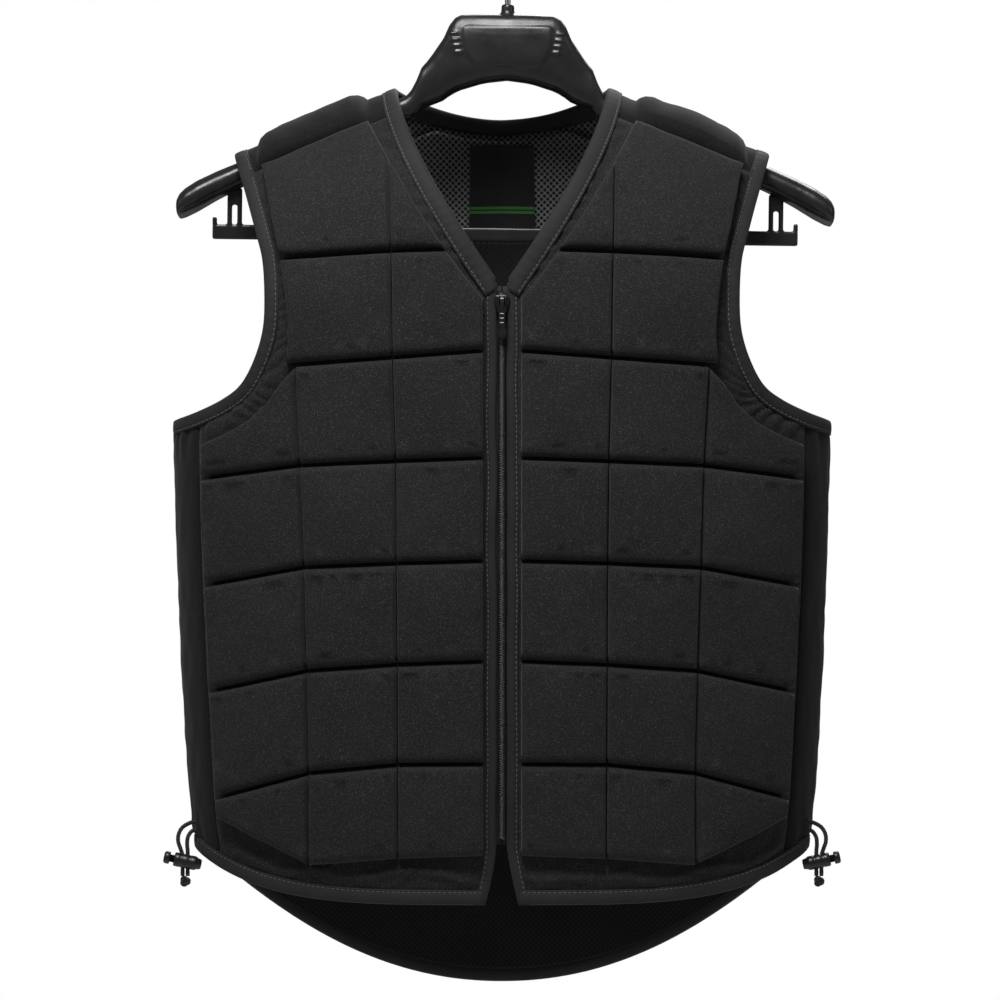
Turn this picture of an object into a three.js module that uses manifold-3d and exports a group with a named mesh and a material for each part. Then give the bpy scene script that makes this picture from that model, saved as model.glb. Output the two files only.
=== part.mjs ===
// A quilted foam riding vest with a front zip, hanging on a plastic clothes hanger.
// Units are millimetres. The front faces -Y, +Z is up, and the origin is the bend of the
// hanger's hook, where it rests on a rail.

import * as THREE from 'three';
import { mergeVertices } from 'three/addons/utils/BufferGeometryUtils.js';
import Module from 'manifold-3d';

const wasm = await Module();
wasm.setup();

// Clearances
const gap = 0.3;
const hangerSeat = 2.3;
const liningGap = 3.4;
const pinPlay = 0.25;
const runPlay = 0.3;

// Hanger
const hookBore = 28;
const hookWire = 4;
const hookToCrown = 55;
const crownToNeck = 50.5;
const hangerShift = 4;
const hangerTilt = THREE.MathUtils.degToRad(0.7);
const hangerReach = 223;
const armDepth = 26;
const tipDepth = 40;
const collarSize = 9;
const collarHeight = 7;
const barBelowNeck = 99.5;
const barHeight = 10;
const barDepth = 5;
const barReach = 199;
const postAt = barReach - 15;
const postWidth = 10;
const postSlot = 3.6;

// Vest, measured from the neck points at the top of the shoulders
const neckHalf = 71.4;
const shoulderHalf = 182;
const shoulderSlope = THREE.MathUtils.degToRad(22.3);
const vNeckDepth = 132;
const vNeckHalf = 4.4;
const backNeckDepth = 16;
const armholeDepth = 225.8;
const chestFrontHalf = 158.2;
const chestHalf = 222.6;
const chestHalfDepth = 88;
const shoulderRound = 130;
const frontLength = 548;
const backLength = 615;
const sideLength = 515.5;
const sideSeamAngle = THREE.MathUtils.degToRad(64);

// Cloth and foam
const clothWall = 3;
const foamHeight = 10;
const foamBelowArmhole = 39.4;
const padHeight = 9;
const channelWidth = 3;
const bindingWidth = 10;
const bindingThick = 5.4;
const shoulderSeamDrop = 18.5;
const neckFlange = 9;
const backNeckFlange = 14;
const padFrom = 98;
const padTo = 165;
const liningThick = 1;
const labelWidth = 48;
const labelHeight = 60;

// Zip
const coilWidth = 5;
const coilThick = 2.4;
const facingInner = 3.4;
const facingWidth = 7.5;
const facingThick = 3.6;
const facingSplay = 8;
const tapeThick = 0.9;
const zipBelowNeck = 142;
const zipLength = 366;
const sliderWidth = 10.4;
const sliderLength = 12;
const sliderPlate = 1.6;
const pullLength = 25;
const pullWidth = 4.6;
const pullThick = 1.4;
const eyeWidth = 3;
const eyeRadius = 2.1;
const pinRadius = 0.7;
const earWall = 1.1;

// Hem cords and their locks
const cordDiameter = 2.8;
const lockDiameter = 9.5;
const lockLength = 15;
const lockBore = 5.6;
const plungerCap = 4;
const knotRadius = 3.6;

// The body's form: half width and half depth, as shares of the chest's, down the vest's side
const bodySections = [
  { down: -0.30, width: 1.18, depth: 0.96 },
  { down: 0.24, width: 1.18, depth: 0.98 },
  { down: 0.34, width: 1.10, depth: 1.00 },
  { down: 0.42, width: 1.00, depth: 1.00 },
  { down: 0.496, width: 1.000, depth: 1.00 },
  { down: 0.565, width: 0.997, depth: 1.00 },
  { down: 0.641, width: 0.990, depth: 0.99 },
  { down: 0.740, width: 0.979, depth: 0.97 },
  { down: 0.843, width: 0.965, depth: 0.95 },
  { down: 0.912, width: 0.956, depth: 0.94 },
  { down: 0.961, width: 0.945, depth: 0.93 },
  { down: 1.000, width: 0.932, depth: 0.92 },
  { down: 1.300, width: 0.915, depth: 0.90 },
];
const squareness = 2.4;
const shoulderArch = 1.7;

// Armhole edge: reach from its narrowest place towards the shoulder tip, then towards the
// side, and the way down, as shares; flange is the bare cloth between binding and foam
const armholeUpper = [
  { reach: 1.000, down: 0.199, flange: 3 },
  { reach: 0.664, down: 0.306, flange: 3 },
  { reach: 0.256, down: 0.453, flange: 3 },
  { reach: 0.063, down: 0.537, flange: 4 },
];
const armholeLower = [
  { reach: 0.000, down: 0.641, flange: 6 },
  { reach: 0.016, down: 0.735, flange: 9 },
  { reach: 0.103, down: 0.820, flange: 14 },
  { reach: 0.249, down: 0.896, flange: 14 },
  { reach: 0.445, down: 0.939, flange: 13 },
  { reach: 0.713, down: 0.974, flange: 13 },
  { reach: 1.000, down: 1.000, flange: 13 },
];

// Where the row of foam beside the armpit ends, as a share of the front's length
const armholeFoot = (armholeDepth + foamBelowArmhole) / frontLength;

// Sewn channels: how far down each one lies at the zip, at both dividers and at the side,
// and where the dividers cross it, as shares of the front's length and the chest's half width
const channels = [
  { zip: 0.209, inner: 0.212, outer: 0.221, side: 0.221, atInner: 0.328, atOuter: 0.62 },
  { zip: 0.331, inner: 0.339, outer: 0.347, side: 0.347, atInner: 0.3235, atOuter: 0.611 },
  { zip: 0.460, inner: 0.464, outer: 0.469, side: armholeFoot, atInner: 0.3145, atOuter: 0.595 },
  { zip: 0.584, inner: 0.587, outer: 0.592, side: 0.614, atInner: 0.312, atOuter: 0.584 },
  { zip: 0.705, inner: 0.709, outer: 0.717, side: 0.743, atInner: 0.310, atOuter: 0.576 },
  { zip: 0.829, inner: 0.830, outer: 0.841, side: 0.873, atInner: 0.309, atOuter: 0.5705 },
  { zip: 0.942, inner: 0.946, outer: 0.955, side: 0.901, atInner: 0.308, atOuter: 0.5705 },
];
const dividerTop = 0.331;
const foamSide = 0.885;
const tailRow = { centre: 0.972, inner: 0.958, outer: 0.913 };

// Hanger outline: crown and arm, as drops below the crown's top, and depth front to back
const crownSections = [
  { out: 0, top: 0, bottom: 45, depth: 22 },
  { out: 16, top: 0, bottom: 47, depth: 22 },
  { out: 32, top: 0.6, bottom: 52, depth: 22 },
  { out: 38, top: 4, bottom: 55, depth: 22 },
  { out: 43, top: 16, bottom: 59, depth: 21 },
  { out: 53, top: 31, bottom: 63, depth: 20 },
  { out: 60, top: 39, bottom: 66, depth: 21 },
];
const flankFromNeck = 9;
const armFromNeck = 3.5;
const armHeight = 17;

// Cords: points of the left outer and inner strand, out from the hem's side end and down from it
const cordOuter = [
  { out: -0.6, down: -19.0, front: 22.0 },
  { out: 3.7, down: -17.9, front: 24.0 },
  { out: 8.1, down: -15.1, front: 26.0 },
  { out: 10.5, down: -10.7, front: 27.5 },
  { out: 10.7, down: -5.9, front: 28.5 },
  { out: 9.3, down: -1.7, front: 29.0 },
  { out: 8.0, down: 2.5, front: 29.0 },
  { out: 7.7, down: 7.5, front: 29.0 },
  { out: 7.7, down: 17.3, front: 29.0 },
];
const cordInner = [
  { out: -1.1, down: -13.7, front: 22.4 },
  { out: 2.1, down: -12.3, front: 24.6 },
  { out: 4.3, down: -8.7, front: 26.8 },
  { out: 4.7, down: -4.1, front: 28.4 },
  { out: 4.3, down: 0.5, front: 29.0 },
  { out: 4.3, down: 7.5, front: 29.0 },
  { out: 4.3, down: 17.3, front: 29.0 },
];
const lockAt = { out: 6.0, down: 7.3, front: 29 };
const lockTilt = THREE.MathUtils.degToRad(12);

// Colours of the real materials
const colours = {
  shell: 0x1c1d20,
  tape: 0x232427,
  mesh: 0x17181a,
  label: 0x101113,
  plastic: 0x202124,
  metal: 0xa8a8a6,
  gunmetal: 0x3c3d40,
  cord: 0x2a2b2e,
};

const group = new THREE.Group();
const neckZ = -(hookToCrown + crownToNeck);
const crownTop = -hookToCrown;

function interpolate(rows, key, at, column) {
  let i = 1;
  while (i < rows.length - 1 && at > rows[i][key]) i += 1;
  const before = rows[i - 1];
  const after = rows[i];
  const t = Math.min(1, Math.max(0, (at - before[key]) / (after[key] - before[key])));
  const eased = t * t * (3 - 2 * t);
  return before[column] + (after[column] - before[column]) * (0.6 * t + 0.4 * eased);
}

// The torso: a squared oval section that closes over the shoulders
function halfWidth(z) {
  return chestHalf * interpolate(bodySections, 'down', (neckZ - z) / sideLength, 'width');
}

function halfDepth(z) {
  return chestHalfDepth * interpolate(bodySections, 'down', (neckZ - z) / sideLength, 'depth');
}

function ridge(x) {
  return neckZ - (Math.abs(x) - neckHalf) * Math.tan(shoulderSlope);
}

function arch(drop) {
  const t = Math.min(1, Math.max(0, drop / shoulderRound));
  return (1 - (1 - t) ** shoulderArch) ** (1 / shoulderArch);
}

function depthAt(x, z) {
  const across = Math.min(1, Math.abs(x) / halfWidth(z));
  return halfDepth(z) * (1 - across ** squareness) ** (1 / squareness) * arch(ridge(x) - z);
}

function formValue(x, y, z) {
  const depth = Math.max(1e-6, halfDepth(z) * arch(ridge(x) - z));
  return (Math.abs(x) / halfWidth(z)) ** squareness + (Math.abs(y) / depth) ** squareness;
}

// A point on the vest's outer cloth, raised by a height along the form's own normal
function skin(x, z, face, height = 0) {
  const reach = Math.min(Math.abs(x), halfWidth(z)) * Math.sign(x);
  const point = new THREE.Vector3(reach, face * depthAt(reach, z), z);
  return point.add(outward(point).multiplyScalar(height));
}

function outward(point) {
  const { x, y, z } = point;
  const nearRidge = 0.8;
  if (ridge(x) - z < nearRidge) {
    return new THREE.Vector3(Math.sign(x) * Math.sin(shoulderSlope), 0, Math.cos(shoulderSlope));
  }
  const e = 0.05;
  return new THREE.Vector3(
    formValue(x + e, y, z) - formValue(x - e, y, z),
    formValue(x, y + e, z) - formValue(x, y - e, z),
    formValue(x, y, z + e) - formValue(x, y, z - e),
  ).normalize();
}

// The same point by its angle from the front or back centre to the side
function widthAtAngle(angle, z) {
  return halfWidth(z) * Math.sin(angle) ** (2 / squareness);
}

// A closed solid gathered from points and triangles, wound outward at the end
class Solid {
  constructor() {
    this.points = [];
    this.faces = [];
  }

  add(point) {
    this.points.push(point);
    return this.points.length - 1;
  }

  triangle(a, b, c) {
    this.faces.push([a, b, c]);
  }

  quad(a, b, c, d) {
    const shortFirst = this.points[a].distanceTo(this.points[c]) <= this.points[b].distanceTo(this.points[d]);
    if (shortFirst) {
      this.triangle(a, b, c);
      this.triangle(a, c, d);
    } else {
      this.triangle(a, b, d);
      this.triangle(b, c, d);
    }
  }

  volume() {
    const cross = new THREE.Vector3();
    let sum = 0;
    for (const [a, b, c] of this.faces) {
      sum += this.points[a].dot(cross.crossVectors(this.points[b], this.points[c]));
    }
    return sum / 6;
  }

  geometry() {
    const inverted = this.volume() < 0;
    const geometry = new THREE.BufferGeometry();
    const positions = this.points.flatMap((point) => point.toArray());
    geometry.setAttribute('position', new THREE.Float32BufferAttribute(positions, 3));
    geometry.setIndex(this.faces.flatMap(([a, b, c]) => (inverted ? [a, c, b] : [a, b, c])));
    return geometry;
  }
}

// Rings of equal length joined into a tube, closed on itself or capped
function loft(rings, closed = false) {
  const solid = new Solid();
  const indices = rings.map((ring) => ring.map((point) => solid.add(point)));
  const sides = rings[0].length;
  const last = closed ? rings.length : rings.length - 1;
  for (let i = 0; i < last; i += 1) {
    const here = indices[i];
    const next = indices[(i + 1) % rings.length];
    for (let j = 0; j < sides; j += 1) {
      const k = (j + 1) % sides;
      solid.quad(here[j], here[k], next[k], next[j]);
    }
  }
  if (!closed) {
    for (const [ring, turn] of [[indices[0], true], [indices[rings.length - 1], false]]) {
      for (let j = 1; j < sides - 1; j += 1) {
        if (turn) solid.triangle(ring[0], ring[j + 1], ring[j]);
        else solid.triangle(ring[0], ring[j], ring[j + 1]);
      }
    }
  }
  return solid.geometry();
}

// A sheet with thickness, from a grid of outer points and the matching inner points
function sheet(outer, inner) {
  const solid = new Solid();
  const top = outer.map((row) => row.map((point) => solid.add(point)));
  const under = inner.map((row) => row.map((point) => solid.add(point)));
  const rows = outer.length;
  const columns = outer[0].length;
  for (let i = 0; i < rows - 1; i += 1) {
    for (let j = 0; j < columns - 1; j += 1) {
      solid.quad(top[i][j], top[i][j + 1], top[i + 1][j + 1], top[i + 1][j]);
      solid.quad(under[i][j], under[i + 1][j], under[i + 1][j + 1], under[i][j + 1]);
    }
  }
  for (let j = 0; j < columns - 1; j += 1) {
    solid.quad(top[0][j], under[0][j], under[0][j + 1], top[0][j + 1]);
    solid.quad(top[rows - 1][j], top[rows - 1][j + 1], under[rows - 1][j + 1], under[rows - 1][j]);
  }
  for (let i = 0; i < rows - 1; i += 1) {
    solid.quad(top[i][0], top[i + 1][0], under[i + 1][0], under[i][0]);
    solid.quad(top[i][columns - 1], under[i][columns - 1], under[i + 1][columns - 1], top[i + 1][columns - 1]);
  }
  return solid.geometry();
}

function closedOnly(geometry) {
  const plain = geometry.clone();
  plain.deleteAttribute('normal');
  plain.deleteAttribute('uv');
  return mergeVertices(plain, 1e-4);
}

function toManifold(geometry) {
  const plain = closedOnly(geometry);
  return new wasm.Manifold(new wasm.Mesh({
    numProp: 3,
    vertProperties: Float32Array.from(plain.attributes.position.array),
    triVerts: Uint32Array.from(plain.index.array),
  }));
}

function fromManifold(solid) {
  const mesh = solid.getMesh();
  const geometry = new THREE.BufferGeometry();
  geometry.setAttribute('position', new THREE.BufferAttribute(Float32Array.from(mesh.vertProperties), 3));
  geometry.setIndex(new THREE.BufferAttribute(Uint32Array.from(mesh.triVerts), 1));
  return geometry;
}

function joined(first, ...others) {
  return fromManifold(others.reduce((sum, next) => sum.add(toManifold(next)), toManifold(first)));
}

function cut(first, ...others) {
  return fromManifold(others.reduce((rest, next) => rest.subtract(toManifold(next)), toManifold(first)));
}

function box(width, depth, height, x, y, z) {
  return new THREE.BoxGeometry(width, depth, height).translate(x, y, z);
}

function piece(name, geometry, colour, roughness = 0.9, metalness = 0) {
  const material = new THREE.MeshStandardMaterial({ color: colour, roughness, metalness });
  const mesh = new THREE.Mesh(geometry, material);
  mesh.name = name;
  group.add(mesh);
  return mesh;
}

// The moulded hanger leans on its hook's stem, so its pieces turn about the top of its collar
function leaning(geometry) {
  const stemX = hangerShift;
  const stemZ = crownTop + collarHeight;
  return geometry.translate(0, 0, -stemZ).rotateY(hangerTilt).translate(stemX, 0, stemZ);
}

// Edge lines. Each section has an outer and an inner place in the front view, x and z.
function ridgeBlend(drop) {
  return Math.min(1, drop / 40);
}

function neckFront(share) {
  const z = neckZ - vNeckDepth * share;
  const x = neckHalf - (neckHalf - vNeckHalf) * share ** 1.4;
  return { x, z };
}

function neckBack(x) {
  return neckZ - backNeckDepth * (1 - (x / neckHalf) ** 2);
}

function armholePoints() {
  const narrow = chestFrontHalf;
  const side = halfWidth(neckZ - armholeDepth);
  const upper = armholeUpper.map((row) => ({ x: narrow + (shoulderHalf - narrow) * row.reach, ...row }));
  const lower = armholeLower.map((row) => ({ x: narrow + (side - narrow) * row.reach, ...row }));
  const points = [...upper, ...lower].map((row) => new THREE.Vector3(row.x, row.flange, neckZ - armholeDepth * row.down));
  points[0].z = ridge(points[0].x);
  return points;
}

const armholeCurve = new THREE.CatmullRomCurve3(armholePoints(), false, 'catmullrom', 0.5);

// The share of a curve at which a test passes from false to true
function crossing(test) {
  let low = 0;
  let high = 1;
  for (let i = 0; i < 40; i += 1) {
    const middle = (low + high) / 2;
    if (test(middle)) high = middle;
    else low = middle;
  }
  return (low + high) / 2;
}

function dropBelowRidge({ x, z }) {
  return ridge(x) - z;
}

// How squarely the section faces forward at a place: 1 at the front, 0 at the side
function facing(x, z) {
  const across = Math.min(1, Math.abs(x) / halfWidth(z));
  const sideways = across ** (squareness - 1) / halfWidth(z);
  const forward = (1 - across ** squareness) ** ((squareness - 1) / squareness) / halfDepth(z);
  return forward / Math.hypot(sideways, forward);
}

// Places beside the armhole edge, a distance towards the vest's middle
function besideArmhole(share, distance) {
  const point = armholeCurve.getPoint(share);
  const along = armholeCurve.getTangent(share);
  const front = facing(point.x, point.z);
  const length = Math.hypot(along.x / Math.max(front, 1e-3), along.z);
  const inX = (along.z / length) * front;
  const inZ = -along.x / Math.max(front, 1e-3) / length;
  const drop = dropBelowRidge(point);
  const slant = -Math.tan(shoulderSlope) * inX * distance - inZ * distance;
  const x = point.x + inX * distance;
  return { x, z: ridge(x) - (drop + slant * ridgeBlend(drop)), flange: point.y };
}

// Places beside the V neck, level with it below the ridge
function besideNeckFront(share, distance) {
  const here = neckFront(share);
  const next = neckFront(share + 0.01);
  const slope = (next.x - here.x) / (next.z - here.z);
  const x = here.x + distance * Math.hypot(1, slope);
  return { x, z: ridge(x) - dropBelowRidge(here) };
}

// Places beside the back neck, level with it on the strap and turning down to its centre
function besideNeckBack(x, distance) {
  const rise = Math.tan(shoulderSlope);
  const curveSlope = (2 * backNeckDepth * seamNeckBack) / neckHalf ** 2;
  const spread = Math.hypot(1, 1 / (rise + curveSlope));
  const drop = ridge(x) - neckBack(x);
  if (x >= seamNeckBack) {
    const outX = x + distance * (1 + (spread - 1) * Math.min(1, drop / shoulderSeamDrop));
    return { x: outX, z: ridge(outX) - drop };
  }
  const turn = x / seamNeckBack;
  return {
    x: x + distance * spread * turn,
    z: neckBack(x) - distance * (rise * spread * turn + 1 - turn),
  };
}

// Rows over the shoulder strap, from the front seam over the ridge to the back seam
const strapRows = [-1, -0.96, -0.88, -0.6, -0.3, 0, 0.3, 0.6, 0.88, 0.96, 1];
const tapeRows = [-1, -0.6, -0.3, 0, 0.3, 0.6, 1];

function strapDrop(row) {
  return shoulderSeamDrop * row * row;
}

function neckShareAtDrop(drop) {
  return crossing((share) => dropBelowRidge(neckFront(share)) > drop);
}

function neckBackAtDrop(drop) {
  return neckHalf * (1 - crossing((share) => {
    const x = neckHalf * (1 - share);
    return ridge(x) - neckBack(x) > drop;
  }));
}

function armholeShareAtDrop(drop) {
  return crossing((share) => dropBelowRidge(armholeCurve.getPoint(share)) > drop);
}

const seamNeckShare = neckShareAtDrop(shoulderSeamDrop);
const seamNeckBack = neckBackAtDrop(shoulderSeamDrop);
const seamArmholeShare = armholeShareAtDrop(shoulderSeamDrop);
const sideShare = armholeAtAngle(sideSeamAngle, bindingWidth + gap);

function shares(from, to, count) {
  return Array.from({ length: count + 1 }, (_, i) => from + ((to - from) * i) / count);
}

// Hem: height of the hem's edge at a place across, on the front and on the back
const hemHalf = halfWidth(neckZ - sideLength);

function hemZ(x, face) {
  const across = Math.min(1, Math.abs(x) / hemHalf);
  if (face < 0) return neckZ - frontLength + (frontLength - sideLength) * across ** 4.5;
  return neckZ - backLength + (backLength - sideLength) * across ** 2.1;
}

function besideHem(x, face, distance) {
  const front = facing(x, hemZ(x, face));
  const slope = (hemZ(Math.abs(x) + 0.5, face) - hemZ(Math.abs(x) - 0.5, face)) * front;
  const length = Math.hypot(1, slope);
  const side = Math.sign(x) || 1;
  return { x: x - (side * slope * front * distance) / length, z: hemZ(x, face) + distance / length };
}

// Where the line beside the hem meets a column at a given angle
function hemAtAngle(angle, face, distance) {
  const share = crossing((t) => {
    const place = besideHem(hemHalf * t, face, distance);
    return place.x > widthAtAngle(angle, place.z);
  });
  return hemHalf * share;
}

// Where the line beside the armhole meets a column at a given angle
function armholeAtAngle(angle, distance) {
  return crossing((t) => {
    const place = besideArmhole(t, distance);
    return t > 0.5 && place.x > widthAtAngle(angle, place.z);
  });
}

// Front edge: straight beside the zip, splaying below it
function facingEdge(z) {
  const zipEnd = neckZ - zipBelowNeck - zipLength;
  const below = Math.max(0, (zipEnd - z) / (zipEnd - (neckZ - frontLength)));
  return facingInner + facingSplay * below ** 1.3;
}

// Polygon helpers in the front view
function area(polygon) {
  return polygon.reduce((sum, p, i) => {
    const q = polygon[(i + 1) % polygon.length];
    return sum + p.x * q.z - q.x * p.z;
  }, 0) / 2;
}

function counterClockwise(polygon) {
  return area(polygon) < 0 ? [...polygon].reverse() : polygon;
}

function inset(polygon, distance) {
  return polygon.map((p, i) => {
    const before = polygon[(i + polygon.length - 1) % polygon.length];
    const after = polygon[(i + 1) % polygon.length];
    const a = new THREE.Vector2(p.x - before.x, p.z - before.z).normalize();
    const b = new THREE.Vector2(after.x - p.x, after.z - p.z).normalize();
    const miter = new THREE.Vector2(-a.y - b.y, a.x + b.x).divideScalar(Math.max(0.5, 1 + a.dot(b)));
    return { x: p.x + miter.x * distance, z: p.z + miter.y * distance };
  });
}

// Long edges are divided, and bow out a little as stuffed foam does
function divided(polygon, face, bow = 0.35) {
  const curved = (p) => face < 0 || Math.abs(p.x) > 0.6 * chestHalf || p.z > neckZ - vNeckDepth;
  return polygon.flatMap((p, i) => {
    const q = polygon[(i + 1) % polygon.length];
    const longest = curved(p) || curved(q) ? 40 : 75;
    const length = Math.hypot(q.x - p.x, q.z - p.z);
    const count = Math.max(1, Math.ceil(length / longest));
    return shares(0, 1, count).slice(0, -1).map((t) => ({
      x: p.x + (q.x - p.x) * t + ((q.z - p.z) / length) * bow * 4 * t * (1 - t),
      z: p.z + (q.z - p.z) * t - ((q.x - p.x) / length) * bow * 4 * t * (1 - t),
    }));
  });
}

function middle(polygon) {
  const sum = polygon.reduce((s, p) => ({ x: s.x + p.x, z: s.z + p.z }), { x: 0, z: 0 });
  return { x: sum.x / polygon.length, z: sum.z / polygon.length };
}

// Turns the long slivers of a triangulation into compact triangles by flipping shared edges
function compact(faces, places) {
  const turn = (a, b, c) => area([places[a], places[b], places[c]]);
  const oriented = faces.map(([a, b, c]) => (turn(a, b, c) < 0 ? [a, c, b] : [a, b, c]));
  const angle = (at, p, q) => {
    const u = new THREE.Vector2(places[p].x - places[at].x, places[p].z - places[at].z);
    const v = new THREE.Vector2(places[q].x - places[at].x, places[q].z - places[at].z);
    return Math.acos(THREE.MathUtils.clamp(u.dot(v) / (u.length() * v.length()), -1, 1));
  };
  for (let pass = 0; pass < 30; pass += 1) {
    const owner = new Map();
    let flips = 0;
    oriented.forEach((face, index) => {
      for (let k = 0; k < 3; k += 1) owner.set(`${face[k]}_${face[(k + 1) % 3]}`, index);
    });
    const touched = new Set();
    oriented.forEach((face, index) => {
      for (let k = 0; k < 3; k += 1) {
        const [a, b, c] = [face[k], face[(k + 1) % 3], face[(k + 2) % 3]];
        const other = owner.get(`${b}_${a}`);
        if (other === undefined || touched.has(index) || touched.has(other)) continue;
        const d = oriented[other].find((v) => v !== a && v !== b);
        const wide = angle(c, a, b) + angle(d, a, b) > Math.PI + 1e-6;
        if (!wide || turn(a, d, c) < 1e-6 || turn(d, b, c) < 1e-6) continue;
        oriented[index] = [a, d, c];
        oriented[other] = [d, b, c];
        touched.add(index).add(other);
        flips += 1;
        break;
      }
    });
    if (flips === 0) break;
  }
  return oriented;
}

// A quilted panel: cloth with raised foam blocks, channels between them
function quiltedPanel(outline, blocks, face) {
  const solid = new Solid();
  const on = (height) => (p) => solid.add(skin(p.x, p.z, face, height));
  const contour = counterClockwise(outline);
  const feet = blocks.map((block) => inset(divided(counterClockwise(block), face), channelWidth / 2));
  const flat = (p) => new THREE.Vector2(p.x, p.z);
  const holes = feet.map((foot) => [...foot].reverse().map(flat));
  const faces = THREE.ShapeUtils.triangulateShape(contour.map(flat), holes);
  const places = [...contour, ...feet.flatMap((foot) => [...foot].reverse())];
  const outer = places.map(on(0));
  const inner = places.map(on(-clothWall));
  for (const [p, q, r] of compact(faces, places)) {
    solid.triangle(outer[p], outer[q], outer[r]);
    solid.triangle(inner[p], inner[r], inner[q]);
  }
  contour.forEach((_, i) => {
    const j = (i + 1) % contour.length;
    solid.quad(outer[i], inner[i], inner[j], outer[j]);
  });
  let start = contour.length;
  for (const foot of feet) {
    const count = foot.length;
    const at = (i) => start + count - 1 - (i % count);
    const shoulder = face < 0 ? inset(foot, 1.3).map(on(foamHeight * 0.72)) : null;
    const top = inset(foot, 4.5).map(on(foamHeight));
    const centre = middle(foot);
    const crown = on(foamHeight + 1.2)(centre);
    const back = on(-clothWall)(centre);
    for (let i = 0; i < count; i += 1) {
      const j = (i + 1) % count;
      if (shoulder) {
        solid.quad(outer[at(i)], outer[at(j)], shoulder[j], shoulder[i]);
        solid.quad(shoulder[i], shoulder[j], top[j], top[i]);
      } else {
        solid.quad(outer[at(i)], outer[at(j)], top[j], top[i]);
      }
      solid.triangle(top[i], top[j], crown);
      solid.triangle(inner[at(j)], inner[at(i)], back);
    }
    start += count;
  }
  return solid.geometry();
}

// Foam blocks, as polygons in the front view for the right-hand half
function channelAt(index) {
  const row = channels[index];
  return {
    zip: neckZ - frontLength * row.zip,
    inner: neckZ - frontLength * row.inner,
    outer: neckZ - frontLength * row.outer,
    side: neckZ - frontLength * row.side,
    atInner: chestHalf * row.atInner,
    atOuter: chestHalf * row.atOuter,
    atSide: foamSide * halfWidth(neckZ - frontLength * row.side),
  };
}

function armholeFoam(share) {
  const flange = armholeCurve.getPoint(share).y;
  return besideArmhole(share, bindingWidth + flange);
}

function armholeFoamShareAtZ(z) {
  return crossing((share) => armholeFoam(share).z < z);
}

function seamZ(x) {
  return ridge(x) - shoulderSeamDrop;
}

function upperBlocks(centreX, neckEdge) {
  const [one, two, three] = [0, 1, 2].map(channelAt);
  const topX = chestHalf * dividerTop;
  const seamTop = (x) => ({ x, z: seamZ(x) - channelWidth });
  const armTop = armholeFoam(seamArmholeShare);
  const oneShare = armholeFoamShareAtZ(one.outer);
  const twoShare = armholeFoamShareAtZ(two.outer);
  const turnShare = crossing((share) => armholeFoam(share).x > three.atSide);
  const innerTop = neckEdge(topX);
  return [
    [
      innerTop,
      seamTop(Math.min(innerTop.x + 14, topX + 18)),
      seamTop(armTop.x),
      armholeFoam((seamArmholeShare + oneShare) / 2),
      { ...armholeFoam(oneShare), z: one.outer },
      { x: one.atInner, z: one.inner },
    ],
    [
      { x: one.atInner, z: one.inner },
      { ...armholeFoam(oneShare), z: one.outer },
      armholeFoam((oneShare + twoShare) / 2),
      { ...armholeFoam(twoShare), z: two.outer },
      { x: two.atInner, z: two.inner },
    ],
    [
      { x: two.atOuter, z: two.outer },
      { x: three.atOuter, z: three.outer },
      { x: three.atSide, z: three.side },
      ...shares(turnShare, twoShare, 4).map((share) => armholeFoam(share)).slice(0, -1),
    ],
    [
      { x: two.atInner, z: two.inner },
      { x: two.atOuter, z: two.outer },
      { x: three.atOuter, z: three.outer },
      { x: three.atInner, z: three.inner },
    ],
    [
      { x: centreX, z: two.zip },
      { x: two.atInner, z: two.inner },
      { x: three.atInner, z: three.inner },
      { x: centreX, z: three.zip },
    ],
  ];
}

function lowerBlocks(centreX) {
  return [2, 3, 4, 5].flatMap((index) => {
    const top = channelAt(index);
    const below = channelAt(index + 1);
    return [
      [
        { x: centreX, z: top.zip },
        { x: top.atInner, z: top.inner },
        { x: below.atInner, z: below.inner },
        { x: centreX, z: below.zip },
      ],
      [
        { x: top.atInner, z: top.inner },
        { x: top.atOuter, z: top.outer },
        { x: below.atOuter, z: below.outer },
        { x: below.atInner, z: below.inner },
      ],
      [
        { x: top.atOuter, z: top.outer },
        { x: top.atSide, z: top.side },
        { x: below.atSide, z: below.side },
        { x: below.atOuter, z: below.outer },
      ],
    ];
  });
}

const panelEdge = facingInner + facingWidth + gap;
const foamNeckOffset = bindingWidth + neckFlange;

function neckFoam(share) {
  return besideNeckFront(share, foamNeckOffset);
}

function frontBlocks() {
  const centreX = panelEdge + 1;
  const one = channelAt(0);
  const two = channelAt(1);
  const topX = chestHalf * dividerTop;
  const shareAtX = (x) => crossing((share) => neckFoam(share).x < x);
  const shareAtZ = (z) => crossing((share) => neckFoam(share).z < z);
  const topShare = shareAtX(topX);
  const oneShare = shareAtZ(one.zip);
  const atOne = { ...neckFoam(oneShare), z: one.zip };
  const blocks = upperBlocks(centreX, () => neckFoam(topShare));
  const corner = neckFoam(shareAtX(centreX));
  return [
    ...blocks,
    [
      neckFoam(topShare),
      { x: one.atInner, z: one.inner },
      atOne,
      neckFoam((topShare + oneShare) / 2),
    ],
    [
      atOne,
      { x: one.atInner, z: one.inner },
      { x: two.atInner, z: two.inner },
      { x: centreX, z: two.zip },
      corner,
      neckFoam((oneShare + shareAtX(centreX)) / 2),
    ],
    ...lowerBlocks(centreX),
  ];
}

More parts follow.
